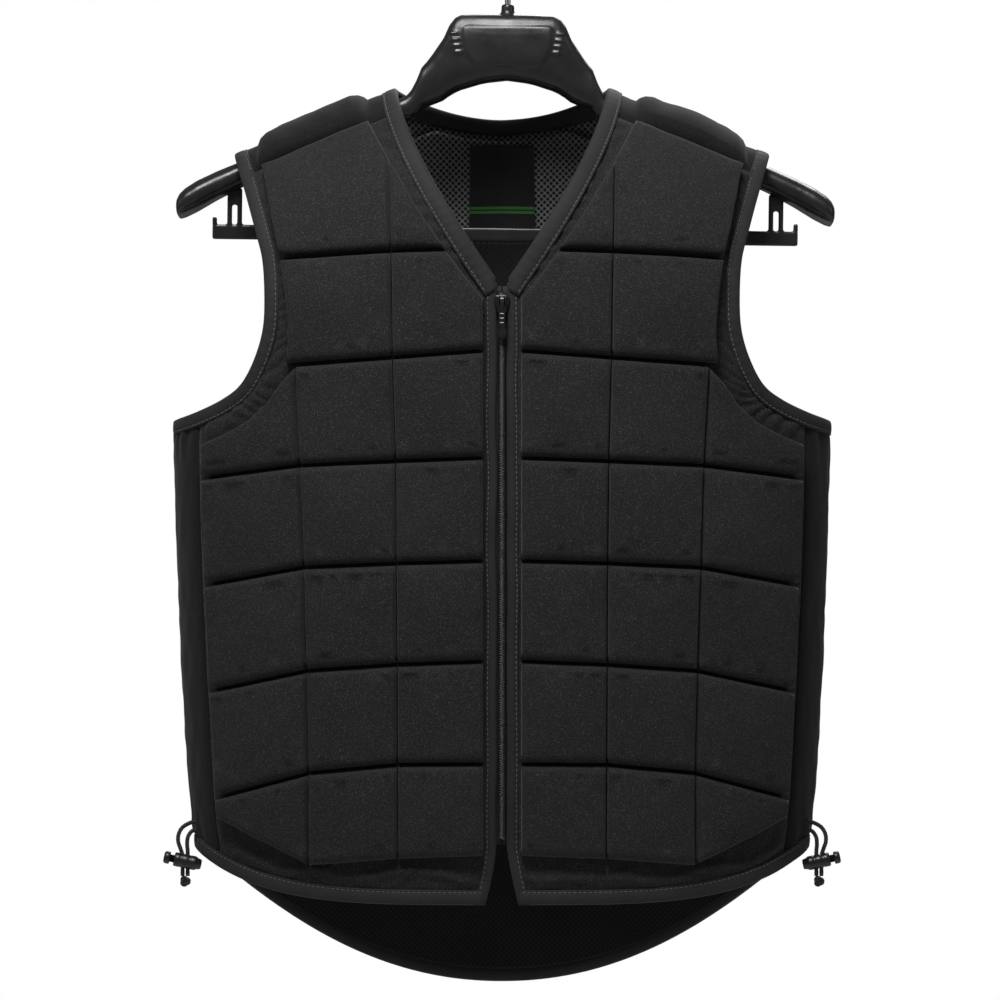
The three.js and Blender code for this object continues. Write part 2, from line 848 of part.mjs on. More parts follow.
function backBlocks() {
  const centreX = 0.4;
  const one = channelAt(0);
  const two = channelAt(1);
  const topX = chestHalf * dividerTop;
  const topAt = (x) => ({ x, z: Math.min(neckBack(Math.min(x, neckHalf)) - bindingWidth - backNeckFlange, seamZ(x) - 3) });
  const blocks = upperBlocks(centreX, topAt);
  const tailAt = (share, x) => ({ x, z: neckZ - backLength * share });
  const seven = channelAt(6);
  return [
    ...blocks,
    [
      { x: centreX, z: one.zip },
      { x: one.atInner, z: one.inner },
      topAt(topX),
      topAt(topX / 2),
      topAt(centreX),
    ],
    [
      { x: centreX, z: one.zip },
      { x: one.atInner, z: one.inner },
      { x: two.atInner, z: two.inner },
      { x: centreX, z: two.zip },
    ],
    ...lowerBlocks(centreX),
    [
      { x: centreX, z: seven.zip },
      { x: seven.atInner, z: seven.inner },
      tailAt(tailRow.inner, seven.atInner),
      tailAt(tailRow.centre, centreX),
    ],
    [
      { x: seven.atInner, z: seven.inner },
      { x: seven.atOuter, z: seven.outer },
      tailAt(tailRow.outer, seven.atOuter),
      tailAt(tailRow.inner, seven.atInner),
    ],
  ];
}

function mirrored(polygon, side) {
  return polygon.map((p) => ({ ...p, x: p.x * side }));
}

// Shared edge samples, so that bindings and panels meet on the same lines
const neckShares = shares(0, 1, 9).map((t) => seamNeckShare + (1 - seamNeckShare) * t);
const armholeShares = shares(0, 1, 11).map((t) => seamArmholeShare + (sideShare - seamArmholeShare) * t);
const armpitShares = shares(sideShare, 1, 3);
const panelInset = bindingWidth + gap;
const seamBow = 0.2;

function hemSpan(face, inner) {
  const outer = hemAtAngle(sideSeamAngle, face, panelInset);
  return shares(inner, outer, 8).map((x) => besideHem(x, face, panelInset));
}

function seamColumn(fromZ, toZ, count, offset) {
  return shares(fromZ, toZ, count).map((z) => ({ x: widthAtAngle(sideSeamAngle, z) + offset, z }));
}

function seamRow(from, to, count) {
  return shares(0, 1, count).map((t) => {
    const x = from + (to - from) * t;
    return { x, z: seamZ(x) - gap / 2 - seamBow * 4 * t * (1 - t) };
  });
}

const frontTop = besideNeckFront(1, panelInset).z - 2 * gap;

function frontOutline() {
  const neck = neckShares.map((share) => besideNeckFront(share, panelInset));
  const arm = armholeShares.map((share) => besideArmhole(share, panelInset));
  const hem = hemSpan(-1, facingEdge(neckZ - frontLength) + facingWidth + gap);
  const corner = hem[hem.length - 1];
  const armpit = arm[arm.length - 1];
  const side = seamColumn(armpit.z, corner.z, 11, 0).slice(1, -1);
  const edge = shares(frontTop, hem[0].z, 14).slice(0, -1).map((z, i) => ({
    x: facingEdge(z) + facingWidth + gap + 0.02 * (i % 2),
    z,
  }));
  neck[0] = { ...neck[0], z: seamZ(neck[0].x) - gap / 2 };
  arm[0] = { ...arm[0], z: seamZ(arm[0].x) - gap / 2 };
  const top = seamRow(neck[0].x, arm[0].x, 4).slice(1, -1);
  return [...top, ...arm.slice(0), ...side, ...[...hem].reverse(), ...[...edge].reverse(), ...[...neck].reverse()];
}

function backOutline() {
  const neckXs = shares(0, seamNeckBack, 4);
  const neck = neckXs.map((x) => besideNeckBack(x, panelInset));
  const arm = armholeShares.map((share) => besideArmhole(share, panelInset));
  const hem = hemSpan(1, 0);
  const corner = hem[hem.length - 1];
  const armpit = arm[arm.length - 1];
  const side = seamColumn(armpit.z, corner.z, 11, 0).slice(1, -1);
  const last = neck.length - 1;
  neck[last] = { ...neck[last], z: seamZ(neck[last].x) - gap / 2 };
  arm[0] = { ...arm[0], z: seamZ(arm[0].x) - gap / 2 };
  const top = seamRow(neck[last].x, arm[0].x, 4).slice(1, -1);
  const half = [...neck.slice(1), ...top, ...arm, ...side, ...[...hem].reverse().slice(0, -1)];
  const middleTop = neck[0];
  const middleHem = hem[0];
  return [middleTop, ...half, middleHem, ...mirrored(half, -1).reverse()];
}

function makePanels() {
  for (const [name, side] of [['left', 1], ['right', -1]]) {
    const blocks = frontBlocks().map((block) => mirrored(block, side));
    piece(`front_panel_${name}`, quiltedPanel(mirrored(frontOutline(), side), blocks, -1), colours.shell);
  }
  const both = backBlocks().flatMap((block) => [mirrored(block, 1), mirrored(block, -1)]);
  piece('back_panel', quiltedPanel(backOutline(), both, 1), colours.shell);
}

// Shoulder straps with their foam pads, arched over the hanger
function makeShoulders() {
  const padColumns = [
    { x: padFrom, height: 0 },
    { x: padFrom + 1.5, height: 0.7 },
    { x: padFrom + 6, height: 1 },
    { x: (padFrom + padTo) / 2, height: 1.12 },
    { x: padTo - 6, height: 1 },
    { x: padTo - 1.5, height: 0.7 },
    { x: padTo, height: 0 },
  ];
  const rowHeight = (row) => interpolate([
    { at: 0, height: 1 },
    { at: 0.88, height: 0.95 },
    { at: 0.96, height: 0.7 },
    { at: 1, height: 0 },
  ], 'at', Math.abs(row), 'height');
  for (const [name, side] of [['left', 1], ['right', -1]]) {
    const grid = (base, raise) => strapRows.map((row) => {
      const face = row <= 0 ? -1 : 1;
      const drop = strapDrop(row);
      const neck = row <= 0
        ? besideNeckFront(neckShareAtDrop(drop), panelInset)
        : besideNeckBack(neckBackAtDrop(drop), panelInset);
      const arm = besideArmhole(armholeShareAtDrop(drop), panelInset);
      const trim = Math.abs(row) === 1 ? gap / 2 : 0;
      const columns = [{ x: neck.x, height: 0 }, ...padColumns, { x: arm.x, height: 0 }];
      return columns.map((column) => {
        const z = ridge(column.x) - drop + trim;
        return skin(column.x * side, z, face, base + raise * column.height * rowHeight(row));
      });
    });
    piece(`shoulder_pad_${name}`, sheet(grid(0, padHeight), grid(-clothWall, 0)), colours.shell);
  }
}

// Smooth side panels between the front and back seams
function makeSides() {
  const count = 6;
  const rows = 10;
  for (const [name, side] of [['left', 1], ['right', -1]]) {
    const column = (k, height) => {
      const span = Math.PI - 2 * sideSeamAngle;
      const angle = sideSeamAngle + (span * k) / count;
      const folded = Math.min(angle, Math.PI - angle);
      const face = angle <= Math.PI / 2 ? -1 : 1;
      const share = folded > Math.PI / 2 - 1e-6 ? 1 : armholeAtAngle(folded, panelInset);
      const top = besideArmhole(share, panelInset).z;
      const hemX = folded > Math.PI / 2 - 1e-6 ? hemHalf : hemAtAngle(folded, face, panelInset);
      const bottom = besideHem(hemX, face, panelInset + gap / 2).z;
      const seamEdge = k === 0 || k === count ? gap : 0;
      return shares(bottom, top, rows).map((z) => {
        const x = Math.min(widthAtAngle(folded, z) + seamEdge, halfWidth(z));
        return skin(x * side, z, face, height);
      });
    };
    const outer = shares(0, count, count).map((k) => column(k, 0));
    const inner = shares(0, count, count).map((k) => column(k, -clothWall));
    piece(`side_panel_${name}`, sheet(outer, inner), colours.shell, 0.8);
  }
}

// Bindings: a flat rolled tape along an edge, from its outer line to its inner line
const bindingProfile = [
  { across: 0, up: -0.4 },
  { across: 0, up: 0.4 },
  { across: 0.14, up: 1 },
  { across: 1, up: 1 },
  { across: 1, up: -1 },
  { across: 0.14, up: -1 },
];

function bindingRing(outer, inner, face, side) {
  const at = (p) => skin(p.x * side, p.z, face, -clothWall / 2);
  const from = at(outer);
  const to = at(inner);
  const fromNormal = outward(skin(outer.x * side, outer.z, face));
  const toNormal = outward(skin(inner.x * side, inner.z, face));
  const half = bindingThick / 2;
  return bindingProfile.map((corner) => from.clone().lerp(to, corner.across).addScaledVector(
    fromNormal.clone().lerp(toNormal, corner.across).normalize(),
    corner.up * half,
  ));
}

function makeNeckBinding() {
  const rings = [];
  const frontRings = (side) => [...neckShares.slice(1)].reverse()
    .map((share) => bindingRing(neckFront(share), besideNeckFront(share, bindingWidth), -1, side));
  const strapRings = (side) => tapeRows.map((row) => {
    const drop = strapDrop(row);
    if (row <= 0) {
      const share = neckShareAtDrop(drop);
      return bindingRing(neckFront(share), besideNeckFront(share, bindingWidth), -1, side);
    }
    const x = neckBackAtDrop(drop);
    return bindingRing({ x, z: neckBack(x) }, besideNeckBack(x, bindingWidth), 1, side);
  });
  const backXs = shares(0, seamNeckBack, 4).slice(0, -1);
  const backRings = (side) => backXs.map((x) => bindingRing({ x, z: neckBack(x) }, besideNeckBack(x, bindingWidth), 1, side));
  rings.push(...frontRings(1), ...strapRings(1));
  rings.push(...backRings(1).reverse());
  rings.push(...backRings(-1).slice(1), ...strapRings(-1).reverse(), ...frontRings(-1).reverse());
  piece('neck_binding', loft(rings), colours.tape, 0.85);
}

function makeArmholeBindings() {
  for (const [name, side] of [['left', 1], ['right', -1]]) {
    const ring = (share, face) => bindingRing(
      armholeCurve.getPoint(share),
      besideArmhole(share, bindingWidth),
      face,
      side,
    );
    const strap = tapeRows.map((row) => ring(armholeShareAtDrop(strapDrop(row)), row <= 0 ? -1 : 1));
    const down = [...armholeShares.slice(1), ...armpitShares.slice(1)];
    const back = down.map((share) => ring(share, 1));
    const front = [...down].reverse().slice(1).map((share) => ring(share, -1));
    piece(`armhole_binding_${name}`, loft([...strap, ...back, ...front], true), colours.tape, 0.85);
  }
}

function makeHemBindings() {
  const frontEnd = hemAtAngle(sideSeamAngle, -1, panelInset);
  const tailEnd = hemAtAngle(sideSeamAngle, 1, panelInset);
  const start = facingEdge(neckZ - frontLength) + facingWidth + gap;
  const frontXs = shares(start, frontEnd, 8);
  const ring = (x, face, side) => bindingRing(
    { x, z: hemZ(x, face) },
    besideHem(x, face, bindingWidth),
    face,
    side,
  );
  const roundAngles = shares(sideSeamAngle, Math.PI / 2, 3).slice(1, -1);
  const round = (face) => roundAngles.map((angle) => hemAtAngle(angle, face, panelInset));
  for (const [name, side] of [['left', 1], ['right', -1]]) {
    const rings = [
      ...frontXs.map((x) => ring(x, -1, side)),
      ...round(-1).map((x) => ring(x, -1, side)),
      ring(hemHalf, -1, side),
      ...round(1).reverse().map((x) => ring(x, 1, side)),
      ring(tailEnd + gap, 1, side),
    ];
    piece(`hem_binding_${name}`, loft(rings), colours.tape, 0.85);
  }
  const tailXs = shares(0, tailEnd, 8);
  const tail = [
    ...[...tailXs].reverse().map((x) => ring(x, 1, -1)),
    ...tailXs.slice(1).map((x) => ring(x, 1, 1)),
  ];
  piece('tail_binding', loft(tail), colours.tape, 0.85);
}

// Zip: facings beside it, tapes behind, the coil between them
function zipTop() {
  return neckZ - zipBelowNeck;
}

function centreFront(z, height) {
  return skin(0, z, -1, height).y;
}

function strip(from, to, zs, frontHeight, thick, side) {
  const row = (height) => zs.map((z) => [from(z), to(z)].map((x) => new THREE.Vector3(x * side, centreFront(z, height), z)));
  return sheet(row(frontHeight), row(frontHeight - thick));
}

function makeZip() {
  const zipEnd = zipTop() - zipLength;
  const hemLevel = neckZ - frontLength;
  const above = shares(zipTop() - 4, zipEnd, 12);
  const edgeAbove = [frontTop, ...above];
  const below = shares(zipEnd, hemLevel, 4).slice(1);
  for (const [name, side] of [['left', 1], ['right', -1]]) {
    const edging = strip(
      facingEdge,
      (z) => facingEdge(z) + facingWidth,
      [...edgeAbove, ...below],
      facingTop,
      facingThick,
      side,
    );
    piece(`front_facing_${name}`, edging, colours.tape, 0.85);
    const tapeFront = facingTop - facingThick - gap;
    const tape = strip(() => gap, () => facingInner + facingWidth - 1, above, tapeFront, tapeThick, side);
    piece(`zip_tape_${name}`, tape, colours.tape, 0.85);
  }
  const coilBack = facingTop - facingThick;
  const coil = strip(() => -coilWidth / 2, () => coilWidth / 2, above, coilBack + coilThick, coilThick, 1);
  piece('zip_coil', coil, colours.gunmetal, 0.45, 0.4);
}

const sliderTop = zipTop() - 2;
const sliderMiddle = sliderTop - sliderLength / 2;
const facingTop = 0.4;
const plateBack = centreFront(sliderMiddle, facingTop) - runPlay - 0.3;
const pivotZ = sliderTop - 3.4;
const pivotY = plateBack - sliderPlate - eyeRadius - runPlay;

function crossCylinder(radius, length, sides, y, z) {
  return new THREE.CylinderGeometry(radius, radius, length, sides).rotateZ(Math.PI / 2).translate(0, y, z);
}

function makeSlider() {
  const neckDepth = 1.1;
  const neck = box(coilWidth - 1.6, neckDepth + 0.4, sliderLength - 3, 0, plateBack + neckDepth / 2 - 0.2, sliderMiddle);
  const front = plateBack - sliderPlate;
  const earHeight = front - pivotY + eyeRadius * 0.8;
  const earX = eyeWidth / 2 + runPlay + earWall / 2;
  const ears = [-1, 1].map((side) => box(
    earWall,
    earHeight + 0.4,
    2 * eyeRadius,
    side * earX,
    front - earHeight / 2 + 0.2,
    pivotZ,
  ));
  const pin = crossCylinder(pinRadius, 2 * earX, 8, pivotY, pivotZ);
  const body = box(sliderWidth, sliderPlate, sliderLength / 2, 0, plateBack - sliderPlate / 2, sliderTop - sliderLength / 4);
  const nose = box(sliderWidth * 0.72, sliderPlate, sliderLength, 0, plateBack - sliderPlate / 2, sliderMiddle);
  piece('zip_slider', joined(body, nose, neck, ...ears, pin), colours.gunmetal, 0.4, 0.7);
}

// The pull hangs from the cross pin by its eye
function makePull() {
  const eye = crossCylinder(eyeRadius, eyeWidth, 12, pivotY, pivotZ);
  const hole = crossCylinder(pinRadius + pinPlay, eyeWidth * 2, 10, pivotY, pivotZ);
  const stalk = box(eyeWidth, pullThick, 4, 0, pivotY, pivotZ - eyeRadius - 1.6);
  const bladeTop = pivotZ - eyeRadius - 3;
  const bladeHeight = pullLength - eyeRadius - 3;
  const blade = box(pullWidth, pullThick, bladeHeight, 0, pivotY, bladeTop - bladeHeight / 2);
  const foot = box(pullWidth * 1.4, pullThick, 4, 0, pivotY, pivotZ - pullLength + 3.4);
  piece('zip_pull', cut(joined(eye, stalk, blade, foot), hole), colours.gunmetal, 0.4, 0.7);
}

// Linings where they show: inside the back neck and inside the tail
function innerSheet(rows, face, depth, thick) {
  const at = (height) => rows.map((row) => row.map((p) => skin(p.x, p.z, face, height)));
  return sheet(at(-depth), at(-depth - thick));
}

function makeLinings() {
  const depth = clothWall + liningGap;
  const across = shares(-1, 1, 8);
  const neckRows = shares(0, 1, 5).map((t) => across.map((u) => {
    const x = u * seamNeckBack * 1.5;
    const top = Math.min(neckBack(Math.min(Math.abs(x), neckHalf)), seamZ(x)) - bindingWidth - 4;
    return { x, z: top + (neckZ - vNeckDepth - 30 - top) * t };
  }));
  piece('lining_neck', innerSheet(neckRows, 1, depth, liningThick), colours.mesh);
  const tailTop = neckZ - frontLength + 40;
  const tailRows = shares(0, 1, 5).map((t) => across.map((u) => {
    const x = u * hemHalf * 0.8;
    const bottom = besideHem(x, 1, bindingWidth + 4).z;
    return { x, z: tailTop + (bottom - tailTop) * t };
  }));
  piece('lining_tail', innerSheet(tailRows, 1, depth, liningThick), colours.mesh);
  const labelTop = neckBack(0) - bindingWidth - 6;
  const labelRows = shares(0, 1, 3).map((t) => shares(-0.5, 0.5, 2).map((u) => ({
    x: u * labelWidth,
    z: labelTop - labelHeight * t,
  })));
  const labelDepth = depth + liningThick + 4 * gap;
  piece('label', innerSheet(labelRows, 1, labelDepth, 0.8), colours.label, 0.6);
}

// Hanger: crown and two arms in one moulding, the trouser bar and the hook
function hangerTopZ(out) {
  const tapeUnder = (clothWall + bindingThick) / 2;
  return ridge(out) - (tapeUnder + hangerSeat) / Math.cos(shoulderSlope);
}

function hangerSections() {
  const armStart = (neckHalf - armFromNeck) / hangerReach;
  const arms = [armStart, 0.42, 0.55, 0.68, 0.8, 0.92, 0.975, 1].map((share) => {
    const out = hangerReach * share;
    const end = share === 1 ? 0.45 : share > 0.95 ? 0.85 : 1;
    const top = hangerTopZ(out) - (armHeight * (1 - end)) / 2;
    const depth = armDepth + (tipDepth - armDepth) * Math.max(0, (share - 0.8) / 0.2) * (share === 1 ? 0.7 : 1);
    return { out, top, bottom: top - armHeight * end, depth, round: 0.88 };
  });
  const crown = crownSections.map((row) => ({
    out: row.out,
    top: crownTop - row.top,
    bottom: crownTop - row.bottom,
    depth: row.depth,
    round: 0.62,
  }));
  const flankTop = neckZ + 1.5;
  const flank = { out: neckHalf - flankFromNeck, top: flankTop, bottom: flankTop - 26, depth: 22, round: 0.7 };
  return [...crown, flank, ...arms];
}

function makeHanger() {
  const sides = 10;
  const half = hangerSections();
  const all = [...[...half.slice(1)].reverse().map((row) => ({ ...row, out: -row.out })), ...half];
  const rings = all.map((row) => shares(0, 1, sides).slice(0, -1).map((t) => {
    const angle = 2 * Math.PI * t + Math.PI / sides;
    const round = (v) => Math.sign(v) * Math.abs(v) ** row.round;
    const centre = (row.top + row.bottom) / 2;
    return new THREE.Vector3(
      row.out,
      (row.depth / 2) * round(Math.cos(angle)),
      centre + ((row.top - row.bottom) / 2) * round(Math.sin(angle)),
    );
  }));
  const body = loft(rings);
  const collar = box(collarSize, collarSize, collarHeight + 4, 0, 0, crownTop + (collarHeight - 4) / 2);
  piece('hanger_body', leaning(joined(body, collar)), colours.plastic, 0.35);
}

function makeBar() {
  const barTop = neckZ - barBelowNeck + barHeight / 2;
  const armBottom = (out) => hangerTopZ(out) - armHeight - gap - 0.4;
  const bar = box(2 * barReach, barDepth, barHeight, 0, 0, barTop - barHeight / 2);
  const parts = [];
  for (const side of [-1, 1]) {
    for (const place of [-1, 1]) {
      const leg = (postWidth - postSlot) / 2;
      const x = side * (postAt + (place * (postWidth - leg)) / 2);
      const top = armBottom(Math.abs(x) + leg / 2);
      parts.push(box(leg, barDepth, top - barTop + 1, x, 0, (top + barTop - 1) / 2));
    }
    parts.push(box(3, barDepth, 6, side * (barReach - 1.5), 0, barTop + 2));
  }
  piece('hanger_bar', leaning(joined(bar, ...parts)), colours.plastic, 0.35);
}

function tube(points, diameter, sides, steps) {
  const curve = new THREE.CatmullRomCurve3(points, false, 'catmullrom', 0.5);
  const section = new THREE.Shape(shares(0, 1, sides).slice(0, -1).map((t) => new THREE.Vector2(
    (diameter / 2) * Math.cos(2 * Math.PI * t),
    (diameter / 2) * Math.sin(2 * Math.PI * t),
  )));
  return closedOnly(new THREE.ExtrudeGeometry(section, { extrudePath: curve, steps, bevelEnabled: false }));
}

function makeHook() {
  const radius = (hookBore + hookWire) / 2;
  const centreZ = -hookBore / 2;
  const arc = shares(THREE.MathUtils.degToRad(215), THREE.MathUtils.degToRad(-35), 9).map((angle) => new THREE.Vector3(
    radius * Math.cos(angle),
    0,
    centreZ + radius * Math.sin(angle),
  ));
  const stemBottom = crownTop + collarHeight + gap;
  const stem = [
    new THREE.Vector3(hangerShift + 2, 0, stemBottom + 12),
    new THREE.Vector3(hangerShift, 0, stemBottom + 6),
    new THREE.Vector3(hangerShift, 0, stemBottom),
  ];
  piece('hanger_hook', tube([...arc, ...stem], hookWire, 8, 18), colours.metal, 0.3, 1);
}

// Hem cords and their spring locks
function cordPoint(row, side) {
  return new THREE.Vector3(side * (hemHalf + row.out), -row.front, neckZ - sideLength - row.down);
}

function makeCords() {
  for (const [name, side] of [['left', 1], ['right', -1]]) {
    const strands = [['outer', cordOuter], ['inner', cordInner]];
    for (const [strand, rows] of strands) {
      const points = rows.map((row) => cordPoint(row, side));
      piece(`hem_cord_${name}_${strand}`, tube(points, cordDiameter, 6, 11), colours.cord);
    }
  }
}

function makeLocks() {
  for (const [name, side] of [['left', 1], ['right', -1]]) {
    const place = cordPoint(lockAt, side);
    const turn = (geometry) => geometry
      .rotateZ(Math.PI / 2)
      .rotateY(-side * lockTilt)
      .translate(place.x, place.y, place.z);
    const outwards = (offset) => (geometry) => geometry.translate(0, -side * offset, 0);
    const barrel = new THREE.CylinderGeometry(lockDiameter / 2, lockDiameter / 2, lockLength, 12);
    const collar = outwards(-lockLength / 2 - 1.6)(new THREE.CylinderGeometry(lockDiameter * 0.36, lockDiameter * 0.42, 4, 12));
    const bore = outwards(lockLength / 2 - 2)(new THREE.CylinderGeometry(lockBore / 2, lockBore / 2, 5, 10));
    const slot = box(cordDiameter * 2 + 1.6, cordDiameter + 1.0, lockDiameter * 3, 0, 0, 0).translate(place.x, place.y, place.z);
    const body = cut(joined(turn(barrel), turn(collar)), turn(bore), slot);
    piece(`cord_lock_body_${name}`, body, colours.plastic, 0.4);
    const cap = outwards(lockLength / 2 + plungerCap / 2 + 3)(new THREE.CylinderGeometry(lockDiameter * 0.44, lockDiameter * 0.44, plungerCap, 12));
    const stem = outwards(lockLength / 2 + 1.6)(new THREE.CylinderGeometry(lockBore / 2 - pinPlay, lockBore / 2 - pinPlay, 4.4, 10));
    piece(`cord_lock_plunger_${name}`, joined(turn(cap), turn(stem)), colours.plastic, 0.4);
    const cordEnd = cordPoint(cordOuter[cordOuter.length - 1], side).z;
    const knotZ = cordEnd - gap - knotRadius * 0.9;
    const knot = new THREE.SphereGeometry(knotRadius, 8, 6).scale(1, 0.85, 0.9).translate(place.x, place.y, knotZ);
    piece(`cord_knot_${name}`, closedOnly(knot), colours.cord);
  }
}

makePanels();
makeShoulders();
makeSides();
makeNeckBinding();
makeArmholeBindings();
makeHemBindings();
makeZip();
makeSlider();
makePull();
makeLinings();
makeHanger();
makeBar();
makeHook();
makeCords();
makeLocks();

export default group;
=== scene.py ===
# The looks of a quilted foam riding vest with a front zip, hanging on a moulded clothes hanger.
# Lengths are metres. The front faces -Y, +Z is up, and the origin is the bend of the hanger's hook.

import math

import bmesh
import bpy
import numpy as np
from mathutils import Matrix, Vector
from mathutils.geometry import delaunay_2d_cdt


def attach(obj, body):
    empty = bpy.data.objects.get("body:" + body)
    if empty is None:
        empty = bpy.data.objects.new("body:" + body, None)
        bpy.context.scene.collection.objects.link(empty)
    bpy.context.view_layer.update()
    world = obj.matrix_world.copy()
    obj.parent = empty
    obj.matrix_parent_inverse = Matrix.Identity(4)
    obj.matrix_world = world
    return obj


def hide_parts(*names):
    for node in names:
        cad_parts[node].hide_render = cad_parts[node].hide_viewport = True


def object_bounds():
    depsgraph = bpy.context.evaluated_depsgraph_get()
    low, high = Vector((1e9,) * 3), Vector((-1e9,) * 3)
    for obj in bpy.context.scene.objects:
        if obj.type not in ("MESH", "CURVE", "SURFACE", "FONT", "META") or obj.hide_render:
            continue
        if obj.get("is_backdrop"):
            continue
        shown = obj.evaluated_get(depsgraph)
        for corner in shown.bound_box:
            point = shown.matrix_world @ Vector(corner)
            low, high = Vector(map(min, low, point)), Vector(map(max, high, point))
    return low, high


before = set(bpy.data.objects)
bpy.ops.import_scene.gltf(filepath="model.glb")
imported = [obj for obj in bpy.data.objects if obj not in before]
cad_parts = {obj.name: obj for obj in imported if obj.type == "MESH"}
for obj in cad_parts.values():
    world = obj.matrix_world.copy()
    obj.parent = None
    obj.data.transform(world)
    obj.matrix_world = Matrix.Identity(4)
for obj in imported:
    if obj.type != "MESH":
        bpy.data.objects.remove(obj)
cad_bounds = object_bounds()

# Camera: the photograph's frame is 1000 pixels wide, and the vest's middle is at pixel 502
PHOTO_WIDTH = 1000
PHOTO_MIDDLE = 502
PIXEL = 0.00068
CAMERA_DISTANCE = 3.1
CAMERA_HEIGHT = -0.385
SENSOR_MM = 36.0

# Hanger
HOOK_BORE = 0.028
HOOK_WIRE = 0.004
HOOK_TO_CROWN = 0.055
CROWN_TO_NECK = 0.0505
HANGER_SHIFT = 0.004
HANGER_TILT = math.radians(0.7)
HANGER_SEAT = 0.0023
HANGER_REACH = 0.223
ARM_DEPTH = 0.026
TIP_DEPTH = 0.040
ARM_HEIGHT = 0.017
COLLAR_SIZE = 0.009
COLLAR_HEIGHT = 0.007
BAR_BELOW_NECK = 0.0995
BAR_HEIGHT = 0.010
BAR_DEPTH = 0.005
BAR_REACH = 0.199
POST_AT = BAR_REACH - 0.015
POST_WIDTH = 0.010
POST_SLOT = 0.0036
FLANK_FROM_NECK = 0.009
ARM_FROM_NECK = 0.0035

# Vest, measured from the neck points at the top of the shoulders
NECK_Z = -(HOOK_TO_CROWN + CROWN_TO_NECK)
NECK_HALF = 0.0714
SHOULDER_HALF = 0.182
SHOULDER_SLOPE = math.radians(22.3)
V_NECK_DEPTH = 0.132
V_NECK_HALF = 0.0044
BACK_NECK_DEPTH = 0.016
ARMHOLE_DEPTH = 0.2258
CHEST_FRONT_HALF = 0.1582
CHEST_HALF = 0.2226
CHEST_HALF_DEPTH = 0.088
SHOULDER_ROUND = 0.130
FRONT_LENGTH = 0.548
BACK_LENGTH = 0.615
SIDE_LENGTH = 0.5155
SIDE_SEAM_ANGLE = math.radians(64)

# Cloth and foam
CLOTH_WALL = 0.003
FOAM_HEIGHT = 0.010
FOAM_BELOW_ARMHOLE = 0.0394
PAD_HEIGHT = 0.0075
CHANNEL_WIDTH = 0.003
BINDING_WIDTH = 0.010
BINDING_THICK = 0.0054
SHOULDER_SEAM_DROP = 0.0185
NECK_FLANGE = 0.009
V_FLANGE = 0.002
PAST_V = 1.2
BACK_NECK_FLANGE = 0.014
PAD_FROM = 0.091
PAD_TO = 0.166
LINING_GAP = 0.0034
LABEL_WIDTH = 0.048
LABEL_HEIGHT = 0.060
TUCK = 0.003

# Zip
COIL_WIDTH = 0.005
COIL_THICK = 0.0024
COIL_PITCH = 0.0016
FACING_INNER = 0.0034
FACING_WIDTH = 0.0075
FACING_THICK = 0.0036
FACING_SPLAY = 0.008
FACING_TOP = 0.0004
ZIP_BELOW_NECK = 0.142
ZIP_LENGTH = 0.366
SLIDER_WIDTH = 0.0104
SLIDER_LENGTH = 0.012
SLIDER_PLATE = 0.0016
PULL_LENGTH = 0.025
PULL_WIDTH = 0.0046
PULL_THICK = 0.0014
EYE_RADIUS = 0.0021
EYE_WIDTH = 0.003

# Cords, their locks and knots
CORD_DIAMETER = 0.0028
LOCK_DIAMETER = 0.0095
LOCK_LENGTH = 0.015
LOCK_TILT = math.radians(12)
PLUNGER_CAP = 0.004
PLUNGER_TRAVEL = 0.003
KNOT_RADIUS = 0.0036

# The body's form down the side: share of the way down, of the half width, of the half depth
BODY = np.array([
    (-0.30, 1.18, 0.96), (0.24, 1.18, 0.98), (0.34, 1.10, 1.00), (0.42, 1.00, 1.00),
    (0.496, 1.000, 1.00), (0.565, 0.997, 1.00), (0.641, 0.990, 0.99), (0.740, 0.979, 0.97),
    (0.843, 0.965, 0.95), (0.912, 0.956, 0.94), (0.961, 0.945, 0.93), (1.000, 0.932, 0.92),
    (1.300, 0.915, 0.90),
])
SQUARENESS = 2.4
SHOULDER_ARCH = 1.7

# Armhole edge: reach towards the shoulder tip or the side, the way down, and the bare flange
ARMHOLE_UPPER = [
    (1.000, 0.199, 0.008), (0.664, 0.306, 0.007), (0.256, 0.453, 0.004), (0.063, 0.537, 0.004),
]
ARMHOLE_LOWER = [
    (0.000, 0.641, 0.006), (0.016, 0.735, 0.009), (0.103, 0.820, 0.014), (0.249, 0.896, 0.014),
    (0.445, 0.939, 0.013), (0.713, 0.974, 0.013), (1.000, 1.000, 0.013),
]

# Sewn channels: the way down at the zip, at both dividers and at the side, then where the
# dividers cross, as shares of the front's length and of the chest's half width
ARMHOLE_FOOT = (ARMHOLE_DEPTH + FOAM_BELOW_ARMHOLE) / FRONT_LENGTH
CHANNELS = [
    (0.209, 0.212, 0.221, 0.221, 0.328, 0.62),
    (0.331, 0.339, 0.347, 0.347, 0.3235, 0.611),
    (0.460, 0.464, 0.469, ARMHOLE_FOOT, 0.3145, 0.595),
    (0.584, 0.587, 0.592, 0.614, 0.312, 0.584),
    (0.705, 0.709, 0.717, 0.743, 0.310, 0.576),
    (0.829, 0.830, 0.841, 0.873, 0.309, 0.5705),
    (0.942, 0.946, 0.955, 0.901, 0.308, 0.5705),
]
DIVIDER_TOP = 0.331
FOAM_SIDE = 0.885
TAIL_ROW = (0.972, 0.958, 0.913)

# Crown of the hanger: way out, then top and bottom below the crown's top, and depth
CROWN = [
    (0, 0, 0.045, 0.022), (0.016, 0, 0.047, 0.022), (0.032, 0.0006, 0.052, 0.022),
    (0.038, 0.004, 0.055, 0.022), (0.043, 0.016, 0.059, 0.021), (0.053, 0.031, 0.063, 0.020),
    (0.060, 0.039, 0.066, 0.021),
]

